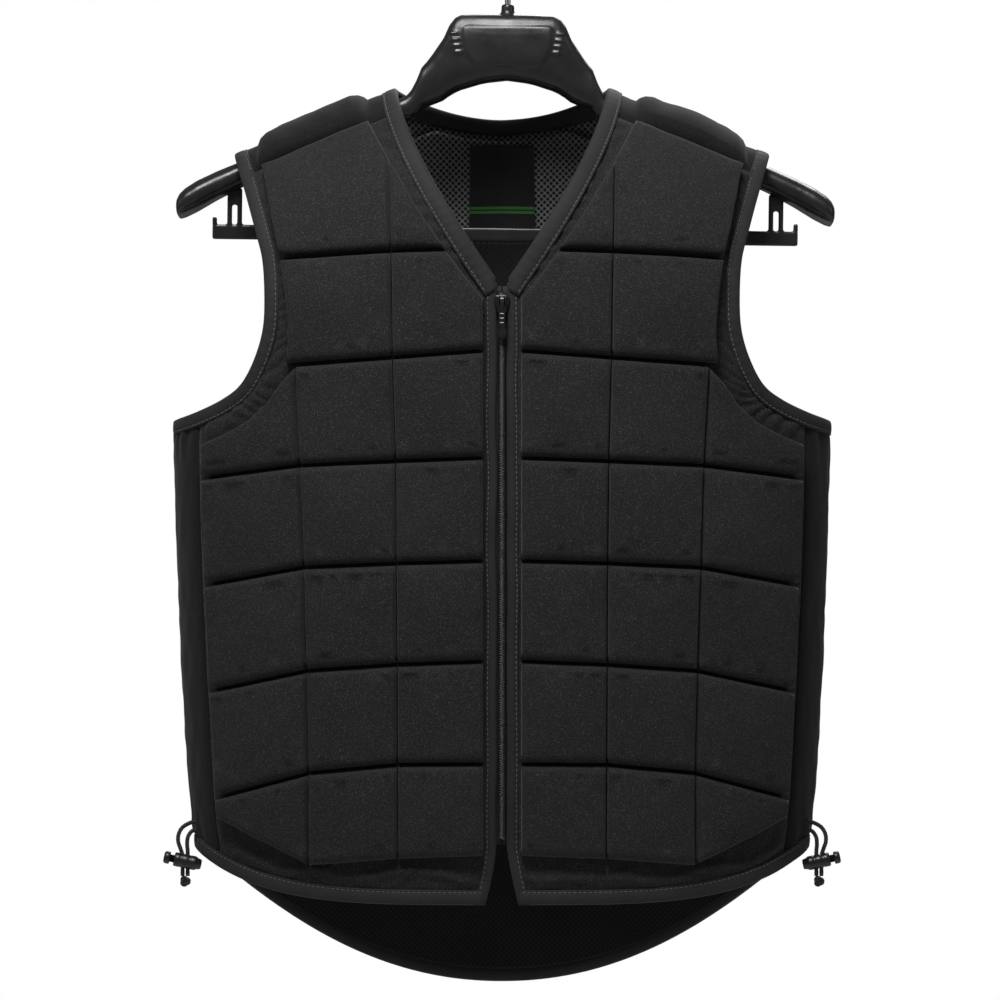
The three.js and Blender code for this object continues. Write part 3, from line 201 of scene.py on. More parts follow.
# Arms of the hanger: share of the reach, the top's drop below the shoulder line, share of the
# arm's height, share of the tip's extra depth, roundness
ARMS = [
    (0.42, 0, 1.0, 0, 0.84), (0.68, 0, 1.0, 0, 0.84), (0.80, 0, 1.05, 0.05, 0.84),
    (0.88, 0.0003, 1.16, 0.4, 0.82), (0.94, 0.0014, 1.24, 0.8, 0.80), (0.975, 0.0034, 1.16, 0.95, 0.80),
    (0.992, 0.0056, 1.0, 0.8, 0.84), (1.0, 0.0085, 0.6, 0.3, 0.9),
]

# Cords: points of the left outer and inner strand, out from the hem's side end, down from it
# and to the front
CORD_OUTER = [
    (-0.0006, -0.0190, 0.0220), (0.0037, -0.0179, 0.0240), (0.0081, -0.0151, 0.0260),
    (0.0105, -0.0107, 0.0275), (0.0107, -0.0059, 0.0285), (0.0093, -0.0017, 0.0290),
    (0.0080, 0.0025, 0.0290), (0.0077, 0.0075, 0.0290), (0.0077, 0.0173, 0.0290),
]
CORD_INNER = [
    (-0.0011, -0.0137, 0.0224), (0.0021, -0.0123, 0.0246), (0.0043, -0.0087, 0.0268),
    (0.0047, -0.0041, 0.0284), (0.0043, 0.0005, 0.0290), (0.0043, 0.0075, 0.0290),
    (0.0043, 0.0173, 0.0290),
]
LOCK_AT = (0.0060, 0.0073, 0.0290)

SIDES = (("left", 1), ("right", -1))

# Points of a mesh that are closer than this are joined, in a thick piece and in a thin one
WELD = 2e-5
FINE_WELD = 1e-5


# The vest's form
def interpolate(table, at, column):
    keys = table[:, 0]
    i = np.clip(np.searchsorted(keys, at), 1, len(keys) - 1)
    t = np.clip((at - keys[i - 1]) / (keys[i] - keys[i - 1]), 0, 1)
    eased = t * t * (3 - 2 * t)
    before, after = table[i - 1, column], table[i, column]
    return before + (after - before) * (0.6 * t + 0.4 * eased)


def half_width(z):
    return CHEST_HALF * interpolate(BODY, (NECK_Z - z) / SIDE_LENGTH, 1)


def half_depth(z):
    return CHEST_HALF_DEPTH * interpolate(BODY, (NECK_Z - z) / SIDE_LENGTH, 2)


def ridge(x):
    return NECK_Z - (np.abs(x) - NECK_HALF) * math.tan(SHOULDER_SLOPE)


def arch(drop):
    t = np.clip(drop / SHOULDER_ROUND, 0, 1)
    return (1 - (1 - t) ** SHOULDER_ARCH) ** (1 / SHOULDER_ARCH)


def depth_at(x, z):
    across = np.minimum(1, np.abs(x) / half_width(z))
    return half_depth(z) * (1 - across ** SQUARENESS) ** (1 / SQUARENESS) * arch(ridge(x) - z)


def form_value(x, y, z):
    depth = np.maximum(1e-9, half_depth(z) * arch(ridge(x) - z))
    return (np.abs(x) / half_width(z)) ** SQUARENESS + (np.abs(y) / depth) ** SQUARENESS


def outward(points):
    x, y, z = points[..., 0], points[..., 1], points[..., 2]
    step = 5e-5
    slope = np.stack([
        form_value(x + step, y, z) - form_value(x - step, y, z),
        form_value(x, y + step, z) - form_value(x, y - step, z),
        form_value(x, y, z + step) - form_value(x, y, z - step),
    ], -1)
    slope /= np.maximum(1e-12, np.linalg.norm(slope, axis=-1, keepdims=True))
    up = np.stack([
        np.sign(x) * math.sin(SHOULDER_SLOPE), np.zeros_like(x), np.full_like(x, math.cos(SHOULDER_SLOPE)),
    ], -1)
    near_ridge = (ridge(x) - z < 0.0008)[..., None]
    return np.where(near_ridge, up, slope)


def on_form(x, z, face):
    x, z, face = np.broadcast_arrays(np.asarray(x, float), np.asarray(z, float), np.asarray(face, float))
    reach = np.sign(x) * np.minimum(np.abs(x), half_width(z))
    return np.stack([reach, face * depth_at(reach, z), z], -1)


def skin(x, z, face, height=0.0):
    base = on_form(x, z, face)
    return base + outward(base) * np.broadcast_to(np.asarray(height, float), base.shape[:-1])[..., None]


def width_at_angle(angle, z):
    return half_width(z) * np.sin(angle) ** (2 / SQUARENESS)


def facing(x, z):
    across = np.minimum(1, np.abs(x) / half_width(z))
    sideways = across ** (SQUARENESS - 1) / half_width(z)
    forward = (1 - across ** SQUARENESS) ** ((SQUARENESS - 1) / SQUARENESS) / half_depth(z)
    return forward / np.hypot(sideways, forward)


def spline(points, at):
    points = np.asarray(points, float)
    padded = np.vstack([2 * points[0] - points[1], points, 2 * points[-1] - points[-2]])
    place = np.clip(np.asarray(at, float), 0, 1) * (len(points) - 1)
    i = np.minimum(place.astype(int), len(points) - 2)
    t = (place - i)[..., None]
    a, b, c, d = (padded[i + k] for k in range(4))
    cubic = (-a + 3 * b - 3 * c + d) * t ** 3
    return 0.5 * (2 * b + (c - a) * t + (2 * a - 5 * b + 4 * c - d) * t ** 2 + cubic)


def crossing(test):
    low, high = 0.0, 1.0
    for _ in range(30):
        middle = (low + high) / 2
        low, high = (low, middle) if test(middle) else (middle, high)
    return (low + high) / 2


# Edge lines of the neck, the armholes and the hem, as x and z in the front view
def neck_front(share):
    z = NECK_Z - V_NECK_DEPTH * share
    return NECK_HALF - (NECK_HALF - V_NECK_HALF) * share ** 1.4, z


def neck_back(x):
    return NECK_Z - BACK_NECK_DEPTH * (1 - (x / NECK_HALF) ** 2)


def armhole_points():
    side = half_width(NECK_Z - ARMHOLE_DEPTH)
    rows = [(CHEST_FRONT_HALF + (SHOULDER_HALF - CHEST_FRONT_HALF) * r, f, NECK_Z - ARMHOLE_DEPTH * d)
            for r, d, f in ARMHOLE_UPPER]
    rows += [(CHEST_FRONT_HALF + (side - CHEST_FRONT_HALF) * r, f, NECK_Z - ARMHOLE_DEPTH * d)
             for r, d, f in ARMHOLE_LOWER]
    points = np.array(rows)
    points[0, 2] = ridge(points[0, 0])
    return points


ARMHOLE = armhole_points()


def armhole(share):
    point = spline(ARMHOLE, share)
    return point[..., 0], point[..., 2], point[..., 1]


def beside_armhole(share, distance):
    share = np.asarray(share, float)
    x, z, _ = armhole(share)
    along = spline(ARMHOLE, np.minimum(1, share + 1e-4)) - spline(ARMHOLE, np.maximum(0, share - 1e-4))
    front = facing(x, z)
    wide = along[..., 0] / np.maximum(front, 1e-3)
    length = np.hypot(wide, along[..., 2])
    in_x = along[..., 2] / length * front
    in_z = -wide / length
    drop = ridge(x) - z
    slant = -math.tan(SHOULDER_SLOPE) * in_x * distance - in_z * distance
    out_x = x + in_x * distance
    return out_x, ridge(out_x) - (drop + slant * np.minimum(1, drop / 0.04))


def beside_neck_front(share, distance):
    x, z = neck_front(share)
    next_x, next_z = neck_front(share + 0.01)
    out_x = x + distance * np.hypot(1, (next_x - x) / (next_z - z))
    return out_x, ridge(out_x) - (ridge(x) - z)


FINE = np.linspace(0, 1, 4001)


def neck_share_at(drop):
    x, z = neck_front(FINE)
    return np.interp(drop, ridge(x) - z, FINE)


def neck_back_at(drop):
    x = NECK_HALF * (1 - FINE)
    return np.interp(drop, ridge(x) - neck_back(x), x)


def armhole_share_at(drop):
    x, z, _ = armhole(FINE)
    return np.interp(drop, ridge(x) - z, FINE)


SEAM_NECK = float(neck_share_at(SHOULDER_SEAM_DROP))
SEAM_BACK = float(neck_back_at(SHOULDER_SEAM_DROP))
SEAM_ARM = float(armhole_share_at(SHOULDER_SEAM_DROP))


def beside_neck_back(x, distance):
    x = np.asarray(x, float)
    rise = math.tan(SHOULDER_SLOPE)
    spread = math.hypot(1, 1 / (rise + 2 * BACK_NECK_DEPTH * SEAM_BACK / NECK_HALF ** 2))
    drop = ridge(x) - neck_back(x)
    strap_x = x + distance * (1 + (spread - 1) * np.minimum(1, drop / SHOULDER_SEAM_DROP))
    turn = x / SEAM_BACK
    back_x = x + distance * spread * turn
    back_z = neck_back(x) - distance * (rise * spread * turn + 1 - turn)
    strap = x >= SEAM_BACK
    return np.where(strap, strap_x, back_x), np.where(strap, ridge(strap_x) - drop, back_z)


HEM_HALF = float(half_width(NECK_Z - SIDE_LENGTH))


def hem_z(x, face):
    across = np.minimum(1, np.abs(x) / HEM_HALF)
    front = NECK_Z - FRONT_LENGTH + (FRONT_LENGTH - SIDE_LENGTH) * across ** 4.5
    back = NECK_Z - BACK_LENGTH + (BACK_LENGTH - SIDE_LENGTH) * across ** 2.1
    return np.where(np.asarray(face) < 0, front, back)


def beside_hem(x, face, distance):
    front = facing(x, hem_z(x, face))
    slope = (hem_z(np.abs(x) + 0.0005, face) - hem_z(np.abs(x) - 0.0005, face)) / 0.001 * front
    length = np.hypot(1, slope)
    side = np.where(np.asarray(x) < 0, -1, 1)
    return x - side * slope * front * distance / length, hem_z(x, face) + distance / length


def hem_at_angle(angle, face, distance):
    def past(t):
        x, z = beside_hem(HEM_HALF * t, face, distance)
        return x > width_at_angle(angle, z)
    return HEM_HALF * crossing(past)


def armhole_at_angle(angle, distance):
    def past(t):
        x, z = beside_armhole(t, distance)
        return t > 0.5 and x > width_at_angle(angle, z)
    return crossing(past)


def facing_edge(z):
    zip_end = NECK_Z - ZIP_BELOW_NECK - ZIP_LENGTH
    below = np.maximum(0, (zip_end - z) / (zip_end - (NECK_Z - FRONT_LENGTH)))
    return FACING_INNER + FACING_SPLAY * below ** 1.3


def seam_z(x):
    return ridge(x) - SHOULDER_SEAM_DROP


def centre_front(z, height):
    return skin(np.zeros_like(z), z, -1, height)[..., 1]


def faded(distance, reach):
    return np.exp(-(distance / reach) ** 2)


# Smooth random waves, the same each run
def waves(points, size, seed, count=9):
    rng = np.random.default_rng(seed)
    total = np.zeros(points.shape[:-1])
    for _ in range(count):
        direction = rng.normal(size=points.shape[-1])
        direction /= np.linalg.norm(direction)
        length = size * rng.uniform(0.7, 1.5)
        total += np.sin(points @ direction * 2 * math.pi / length + rng.uniform(0, 2 * math.pi))
    return total / math.sqrt(count / 2)


# Meshes
class Shell:
    """Points and faces gathered from several grids, each face with its material's number."""

    def __init__(self):
        self.points = []
        self.faces = []
        self.slots = []
        self.count = 0

    def add(self, points):
        points = np.asarray(points, float).reshape(-1, 3)
        self.points.append(points)
        self.count += len(points)
        return self.count - len(points)

    def polygons(self, faces, slot=0):
        self.faces.extend(faces)
        self.slots.extend([slot] * len(faces))

    def grid(self, points, closed_rows=False, closed_columns=False, slot=0, flip=False):
        rows, columns = points.shape[:2]
        start = self.add(points)
        i, j = np.meshgrid(
            np.arange(rows if closed_rows else rows - 1),
            np.arange(columns if closed_columns else columns - 1),
            indexing="ij",
        )
        a = start + i * columns + j
        b = start + i * columns + (j + 1) % columns
        c = start + (i + 1) % rows * columns + (j + 1) % columns
        d = start + (i + 1) % rows * columns + j
        order = (d, c, b, a) if flip else (a, b, c, d)
        self.polygons(np.stack(order, -1).reshape(-1, 4).tolist(), slot)

    def tube(self, rings, closed=False):
        self.grid(rings, closed_rows=closed, closed_columns=True)
        if not closed:
            sides = rings.shape[1]
            first = self.count - rings.shape[0] * sides
            last = self.count - sides
            self.polygons([list(range(first, first + sides))[::-1], list(range(last, last + sides))])

    def sheet(self, outer, inner, inner_slot=0):
        self.grid(outer)
        self.grid(inner, slot=inner_slot, flip=True)
        for edge in (np.s_[0], np.s_[-1], np.s_[:, 0], np.s_[:, -1]):
            self.grid(np.stack([outer[edge], inner[edge]]))


def mesh_of(name, shell, materials=(), weld=0.0):
    """A mesh of a shell's faces, turned outward, with its close points joined."""
    mesh = bpy.data.meshes.new(name)
    mesh.from_pydata(np.concatenate(shell.points).tolist(), [], shell.faces)
    mesh.polygons.foreach_set("material_index", shell.slots)
    for material in materials:
        mesh.materials.append(material)
    work = bmesh.new()
    work.from_mesh(mesh)
    if weld:
        bmesh.ops.remove_doubles(work, verts=work.verts, dist=weld)
        bmesh.ops.dissolve_degenerate(work, edges=work.edges, dist=weld / 4)
    bmesh.ops.recalc_face_normals(work, faces=work.faces)
    work.to_mesh(mesh)
    work.free()
    return mesh


def linked(name, data):
    thing = bpy.data.objects.new(name, data)
    bpy.context.scene.collection.objects.link(thing)
    return thing


def piece(name, shell, materials, slot, body="root", replaces=(), weld=0.0):
    mesh = mesh_of(name, shell, materials, weld)
    mesh.polygons.foreach_set("use_smooth", [True] * len(mesh.polygons))
    thing = linked(name, mesh)
    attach(thing, body)
    if replaces:
        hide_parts(*replaces)
    return thing


def moulded(name, shell, material, slot, voxel, rounds, **facts):
    """Overlapping closed shells joined into one skin with softened edges."""
    thing = linked(name, mesh_of(name, shell))
    remesh = thing.modifiers.new("skin", "REMESH")
    remesh.mode = "VOXEL"
    remesh.voxel_size = voxel
    soften = thing.modifiers.new("soften", "SMOOTH")
    soften.factor = 0.6
    soften.iterations = rounds
    whole = bpy.data.meshes.new_from_object(thing.evaluated_get(bpy.context.evaluated_depsgraph_get()))
    bpy.data.objects.remove(thing)
    result = Shell()
    points = np.empty(len(whole.vertices) * 3)
    whole.vertices.foreach_get("co", points)
    result.add(points)
    result.polygons([list(polygon.vertices) for polygon in whole.polygons])
    return piece(name, result, [material], slot, **facts)


def tube_rings(path, radius, sides):
    """Rings round a path, turned as little as possible from one to the next."""
    path = np.asarray(path, float)
    along = np.gradient(path, axis=0)
    along /= np.linalg.norm(along, axis=1, keepdims=True)
    across = np.cross(along[0], (0, 1, 0) if abs(along[0][1]) < 0.9 else (1, 0, 0))
    angles = np.arange(sides) * 2 * math.pi / sides
    rings = []
    for point, tangent, wide in zip(path, along, np.broadcast_to(radius, len(path))):
        across = across - tangent * (across @ tangent)
        across /= np.linalg.norm(across)
        other = np.cross(tangent, across)
        rings.append(point + wide * (np.cos(angles)[:, None] * across + np.sin(angles)[:, None] * other))
    return np.array(rings)


def lathe(profile, centre, axis, sides):
    """A turned form: profile rows are the place along the axis and the radius."""
    axis = np.asarray(axis, float) / np.linalg.norm(axis)
    across = np.cross(axis, (0, 1, 0))
    across /= np.linalg.norm(across)
    other = np.cross(axis, across)
    angles = np.arange(sides) * 2 * math.pi / sides
    spin = np.cos(angles)[:, None] * across + np.sin(angles)[:, None] * other
    return np.array([np.asarray(centre) + axis * at + spin * radius for at, radius in profile])


def rounded_box(shell, size, centre, bevel):
    work = bmesh.new()
    bmesh.ops.create_cube(work, size=1)
    bmesh.ops.scale(work, vec=size, verts=work.verts)
    bmesh.ops.bevel(work, geom=work.edges, offset=bevel, segments=2, affect="EDGES", profile=0.5)
    bmesh.ops.translate(work, vec=centre, verts=work.verts)
    work.verts.index_update()
    start = shell.add([v.co[:] for v in work.verts])
    shell.polygons([[start + v.index for v in f.verts] for f in work.faces])
    work.free()


# Materials
def nodes_of(name):
    material = bpy.data.materials.new(name)
    material.use_nodes = True
    tree = material.node_tree
    return material, tree, tree.nodes["Principled BSDF"]


def node(tree, kind, **inputs):
    made = tree.nodes.new(kind)
    for key, value in inputs.items():
        if isinstance(value, bpy.types.NodeSocket):
            tree.links.new(value, made.inputs[key])
        elif key in made.inputs:
            made.inputs[key].default_value = value
        else:
            setattr(made, key, value)
    return made


def grain(tree, scale, detail=2.0, roughness=0.5, stretch=(1, 1, 1)):
    place = node(tree, "ShaderNodeTexCoord")
    mapped = node(tree, "ShaderNodeMapping", Vector=place.outputs["Object"], Scale=stretch)
    noise = node(tree, "ShaderNodeTexNoise", Vector=mapped.outputs["Vector"], Scale=scale,
                 Detail=detail, Roughness=roughness)
    return noise.outputs["Fac"]


def ramp(tree, value, low, high, stops=(0.35, 0.65)):
    made = node(tree, "ShaderNodeValToRGB", Fac=value)
    made.color_ramp.elements[0].position = stops[0]
    made.color_ramp.elements[1].position = stops[1]
    made.color_ramp.elements[0].color = (*low, 1)
    made.color_ramp.elements[1].color = (*high, 1)
    return made.outputs["Color"]


def blended(tree, amount, first, second):
    made = tree.nodes.new("ShaderNodeMix")
    made.data_type = "RGBA"
    for index, value in ((0, amount), (6, first), (7, second)):
        if isinstance(value, bpy.types.NodeSocket):
            tree.links.new(value, made.inputs[index])
        else:
            made.inputs[index].default_value = (*value, 1)
    return made.outputs[2]


def relief(tree, shader, height, strength, distance):
    bump = node(tree, "ShaderNodeBump", Height=height, Strength=strength, Distance=distance)
    tree.links.new(bump.outputs["Normal"], shader.inputs["Normal"])


def scaled(colour, share):
    return [c * share for c in colour]


def cover(tree, shader, colour, roughness, specular, sheen):
    tree.links.new(colour, shader.inputs["Base Color"])
    shader.inputs["Roughness"].default_value = roughness
    shader.inputs["Specular IOR Level"].default_value = specular
    shader.inputs["Sheen Weight"].default_value = sheen


BLACK = (0, 0, 0)
BROAD = (0.3, 0.7)

# Painted shade: the lining is painted plain dark below the trouser bar, where the vest's inside lies in
# shade, and the change is a short fade behind the bar
PAINTED_SHADE_BELOW = -0.203
PAINTED_SHADE_FADE = 0.004
FAR_BELOW = -10.0


def knit(name, dark, light, specks, speck_scale, bump, sheen):
    """Speckled knit: stitches as fine bump, pale fibre specks and broad uneven wear."""
    material, tree, shader = nodes_of(name)
    wear = grain(tree, scale=14, detail=3)
    stitches = grain(tree, scale=speck_scale, detail=1.5, roughness=0.6, stretch=(1, 1, 0.75))
    fibres = grain(tree, scale=speck_scale * 1.9, detail=1.0, roughness=0.7)
    base = ramp(tree, wear, scaled(dark, 0.86), scaled(dark, 1.18), BROAD)
    raised = ramp(tree, stitches, BLACK, (0.55,) * 3, stops=(0.42, 0.62))
    mottled = blended(tree, raised, base, scaled(dark, 1.6))
    specked = ramp(tree, fibres, BLACK, (specks,) * 3, stops=(0.62, 0.74))
    coloured = blended(tree, specked, mottled, light)
    cover(tree, shader, coloured, roughness=0.88, specular=0.25, sheen=sheen)
    shader.inputs["Sheen Roughness"].default_value = 0.45
    relief(tree, shader, stitches, strength=0.8, distance=bump)
    return material


def woven(name, dark, thread_scale, sheen, roughness=0.75):
    """Woven tape: a fine grain of threads with a slight mottle."""
    material, tree, shader = nodes_of(name)
    threads = grain(tree, scale=thread_scale, detail=1.0)
    base = ramp(tree, grain(tree, scale=40, detail=2), scaled(dark, 0.85), scaled(dark, 1.2), BROAD)
    raised = ramp(tree, threads, BLACK, (0.6,) * 3, stops=(0.45, 0.65))
    coloured = blended(tree, raised, base, scaled(dark, 1.7))
    cover(tree, shader, coloured, roughness=roughness, specular=0.3, sheen=sheen)
    relief(tree, shader, threads, strength=0.6, distance=0.00018)
    return material


def open_mesh(name, dark, light, pitch, painted_shade_below=FAR_BELOW):
    """Open mesh: small dark holes on a diagonal grid, and painted shade, plain dark, below a level."""
    material, tree, shader = nodes_of(name)
    place = node(tree, "ShaderNodeTexCoord").outputs["Object"]
    turned = node(tree, "ShaderNodeMapping", Vector=place, Scale=(1, 0, 1),
                  Rotation=(0, math.radians(45), 0))
    cells = node(tree, "ShaderNodeTexVoronoi", Vector=turned.outputs["Vector"], Scale=1 / pitch,
                 Randomness=0.1)
    threads = ramp(tree, cells.outputs["Distance"], dark, light, stops=(0.28, 0.5))
    # Painted shade: below the given level the colour fades to plain dark
    level = node(tree, "ShaderNodeSeparateXYZ", Vector=place).outputs["Z"]
    above = node(tree, "ShaderNodeMapRange", **{
        "Value": level, "From Min": painted_shade_below - PAINTED_SHADE_FADE, "From Max": painted_shade_below + PAINTED_SHADE_FADE,
    })
    coloured = blended(tree, above.outputs["Result"], dark, threads)
    cover(tree, shader, coloured, roughness=0.8, specular=0.25, sheen=0.1)
    relief(tree, shader, cells.outputs["Distance"], strength=0.9, distance=0.0004)
    return material


def plastic(name, dark, roughness, fine=900):
    """Moulded plastic: satin, with a fine texture and faint rubbed patches."""
    material, tree, shader = nodes_of(name)
    coloured = ramp(tree, grain(tree, scale=22, detail=3), scaled(dark, 0.9), scaled(dark, 1.15), BROAD)
    rubbed = ramp(tree, grain(tree, scale=60, detail=4), (roughness - 0.06,) * 3, (roughness + 0.08,) * 3,
                  BROAD)
    tree.links.new(coloured, shader.inputs["Base Color"])
    tree.links.new(rubbed, shader.inputs["Roughness"])
    relief(tree, shader, grain(tree, scale=fine, detail=1.0), strength=0.25, distance=0.00008)
    return material


def metal(name, colour, roughness, scratch=700):
    """Metal with fine upright streaks in its tone and its gloss."""
    material, tree, shader = nodes_of(name)
    streaks = grain(tree, scale=scratch, stretch=(1, 1, 0.15))
    toned = ramp(tree, streaks, scaled(colour, 0.88), colour, BROAD)
    dulled = ramp(tree, streaks, (roughness,) * 3, (roughness + 0.12,) * 3)
    tree.links.new(toned, shader.inputs["Base Color"])
    tree.links.new(dulled, shader.inputs["Roughness"])
    shader.inputs["Metallic"].default_value = 1.0
    relief(tree, shader, streaks, strength=0.15, distance=0.00005)
    return material


def plain(name, colour, roughness):
    material, tree, shader = nodes_of(name)
    tone = ramp(tree, grain(tree, scale=3), scaled(colour, 0.97), colour)
    tree.links.new(tone, shader.inputs["Base Color"])
    shader.inputs["Roughness"].default_value = roughness
    return material


SHELL = knit("shell_knit", (0.0112, 0.0113, 0.0119), (0.19, 0.19, 0.194), 0.72, 1150, 0.00030, 0.08)
SIDE_KNIT = knit("side_knit", (0.0058, 0.0059, 0.0063), (0.08, 0.08, 0.083), 0.45, 1150, 0.00016, 0.08)
# Painted shade: the pads' knit is a darker version of the shell's knit, standing in for the shade on their
# upward faces
SHADED_PAD_KNIT = knit("pad_knit_painted_shade", (0.0036, 0.0037, 0.0040), (0.08, 0.08, 0.082), 0.50, 1150, 0.00024, 0.08)
TAPE = woven("binding_tape", (0.0160, 0.0161, 0.0168), 1300, 0.05)
THREAD = woven("stitching_thread", (0.12, 0.12, 0.123), 2400, 0.05)
# The mesh lining carries painted shade below the trouser bar
MESH = open_mesh("mesh_lining", (0.003, 0.003, 0.0032), (0.21, 0.21, 0.213), 0.0030, PAINTED_SHADE_BELOW)
# Painted shade: the tail's lining is a darker copy of the mesh lining, standing in for the shadow of the
# vest's front on it
SHADED_TAIL_MESH = open_mesh("mesh_lining_tail_painted_shade", (0.0015, 0.0015, 0.0016), (0.010, 0.010, 0.0105), 0.0026)
LABEL = woven("label_satin", (0.010, 0.0102, 0.0108), 2600, 0.2, 0.45)
LABEL_LINE = woven("label_line", (0.030, 0.130, 0.030), 2600, 0.1, 0.5)
HANGER = plastic("hanger_plastic", (0.014, 0.0141, 0.0148), 0.30)
LOCK = plastic("lock_plastic", (0.010, 0.0101, 0.0106), 0.34, 1500)
CHROME = metal("hook_metal", (0.58, 0.58, 0.56), 0.16)
GUNMETAL = metal("zip_metal", (0.075, 0.075, 0.080), 0.26, 1500)
COIL = plastic("zip_coil", (0.022, 0.022, 0.024), 0.26, 2500)
CORD = knit("cord_braid", (0.013, 0.0135, 0.015), (0.26, 0.26, 0.27), 0.9, 1500, 0.0003, 0.2)
FLOOR = plain("floor_white", (0.86, 0.86, 0.86), 0.8)


# The camera stands where the photograph's did
def make_camera():
    data = bpy.data.cameras.new("camera")
    data.sensor_width = SENSOR_MM
    data.lens = SENSOR_MM * CAMERA_DISTANCE / (PHOTO_WIDTH * PIXEL)
    camera = linked("camera", data)
    camera.location = ((PHOTO_WIDTH / 2 - PHOTO_MIDDLE) * PIXEL, -CAMERA_DISTANCE, CAMERA_HEIGHT)
    camera.rotation_euler = (math.radians(90), 0, 0)
    bpy.context.scene.camera = camera


# Cords, with their locks and knots
def cord_point(row, side):
    out, down, front = row
    return np.array((side * (HEM_HALF + out), -front, NECK_Z - SIDE_LENGTH - down))


# The lock's barrel: which end, the way past that end, and the share of the full radius
BARREL = [
    (-1, -0.0036, 0.30), (-1, -0.0035, 0.62), (-1, -0.0028, 0.72), (-1, -0.0006, 0.82), (-1, 0, 0.94),
    (-1, 0.0010, 1), (-1, 0.0040, 1), (-1, 0.0046, 0.93), (-1, 0.0052, 1), (1, -0.0052, 1),
    (1, -0.0046, 0.93), (1, -0.0040, 1), (1, -0.0008, 1), (1, 0, 0.90), (1, 0, 0.60), (1, -0.0035, 0.58),
]
STEM_SHARE = 0.53
CAP_SHARE = 0.88

# The knot: a strand wound round a ring that swings in and out
KNOT_RING = 0.0019
KNOT_SWING = 0.0009
KNOT_DEPTH = 0.00085
KNOT_STRAND = 0.0011
KNOT_DROP = 0.0003
CORD_POINTS = 60


def make_lock(name, side):
    place = cord_point(LOCK_AT, side)
    axis = np.array((side * math.cos(LOCK_TILT), 0, math.sin(LOCK_TILT)))
    half = LOCK_LENGTH / 2
    wide = LOCK_DIAMETER / 2
    barrel = Shell()
    barrel.tube(lathe([(end * half + past, wide * share) for end, past, share in BARREL], place, axis, 40))
    body = piece(f"lock_barrel_{name}", barrel, [LOCK], "lock_plastic", replaces=[f"cord_lock_body_{name}"])
    plunger = Shell()
    stem = wide * STEM_SHARE
    cap = wide * CAP_SHARE
    start = half + PLUNGER_TRAVEL
    end = start + PLUNGER_CAP
    plunger.tube(lathe([
        (half - 0.0006, stem), (start, stem), (start, cap * 0.92), (start + 0.0006, cap),
        (end - 0.0012, cap), (end - 0.0004, cap * 0.9), (end, cap * 0.7), (end, cap * 0.05),
    ], place, axis, 36))
    button = piece(f"lock_plunger_{name}_cap", plunger, [LOCK], "lock_plastic", body=f"plunger_{name}",
                   replaces=[f"cord_lock_plunger_{name}"])
    return body, button


def make_knot(name, side, end):
    turns = np.linspace(0, 2 * math.pi, 91)[:-1]
    ring = KNOT_RING + KNOT_SWING * np.cos(3 * turns)
    path = np.stack([
        ring * np.cos(2 * turns), KNOT_DEPTH * np.sin(3 * turns), ring * np.sin(2 * turns),
    ], -1)
    centre = np.array((cord_point(LOCK_AT, side)[0], end[1], end[2] - KNOT_DROP - KNOT_RADIUS * 0.9))
    knot = Shell()
    closed = np.vstack([path, path[:1]])
    knot.tube(tube_rings(closed + centre, KNOT_STRAND, 10)[:-1], closed=True)
    return piece(f"cord_knot_tied_{name}", knot, [CORD], "cord", replaces=[f"cord_knot_{name}"])


def make_cords():
    for name, side in SIDES:
        lock, button = make_lock(name, side)
        knot = make_knot(name, side, cord_point(CORD_OUTER[-1], side))
        for strand, rows in (("outer", CORD_OUTER), ("inner", CORD_INNER)):
            points = [cord_point(row, side) for row in rows]
            path = spline(points, np.linspace(0, 1, CORD_POINTS))
            braid = 1 + 0.05 * np.sin(np.arange(CORD_POINTS) * 1.9)
            tube = Shell()
            tube.tube(tube_rings(path, CORD_DIAMETER / 2 * braid, 12))
            cord = piece(f"hem_cord_{strand}_{name}", tube, [CORD], "cord",
                         replaces=[f"hem_cord_{name}_{strand}"])


# Foam blocks, as polygons of x and z in the left-hand half
def channel_at(index):
    at_zip, inner, outer, side, at_inner, at_outer = CHANNELS[index]
    level = [NECK_Z - FRONT_LENGTH * share for share in (at_zip, inner, outer, side)]
    return dict(zip(("zip", "inner", "outer", "side"), level),
                at_inner=CHEST_HALF * at_inner, at_outer=CHEST_HALF * at_outer,
                at_side=FOAM_SIDE * float(half_width(level[3])))


def armhole_foam(share):
    flange = float(armhole(share)[2])
    x, z = beside_armhole(share, BINDING_WIDTH + flange)
    return float(x), float(z)


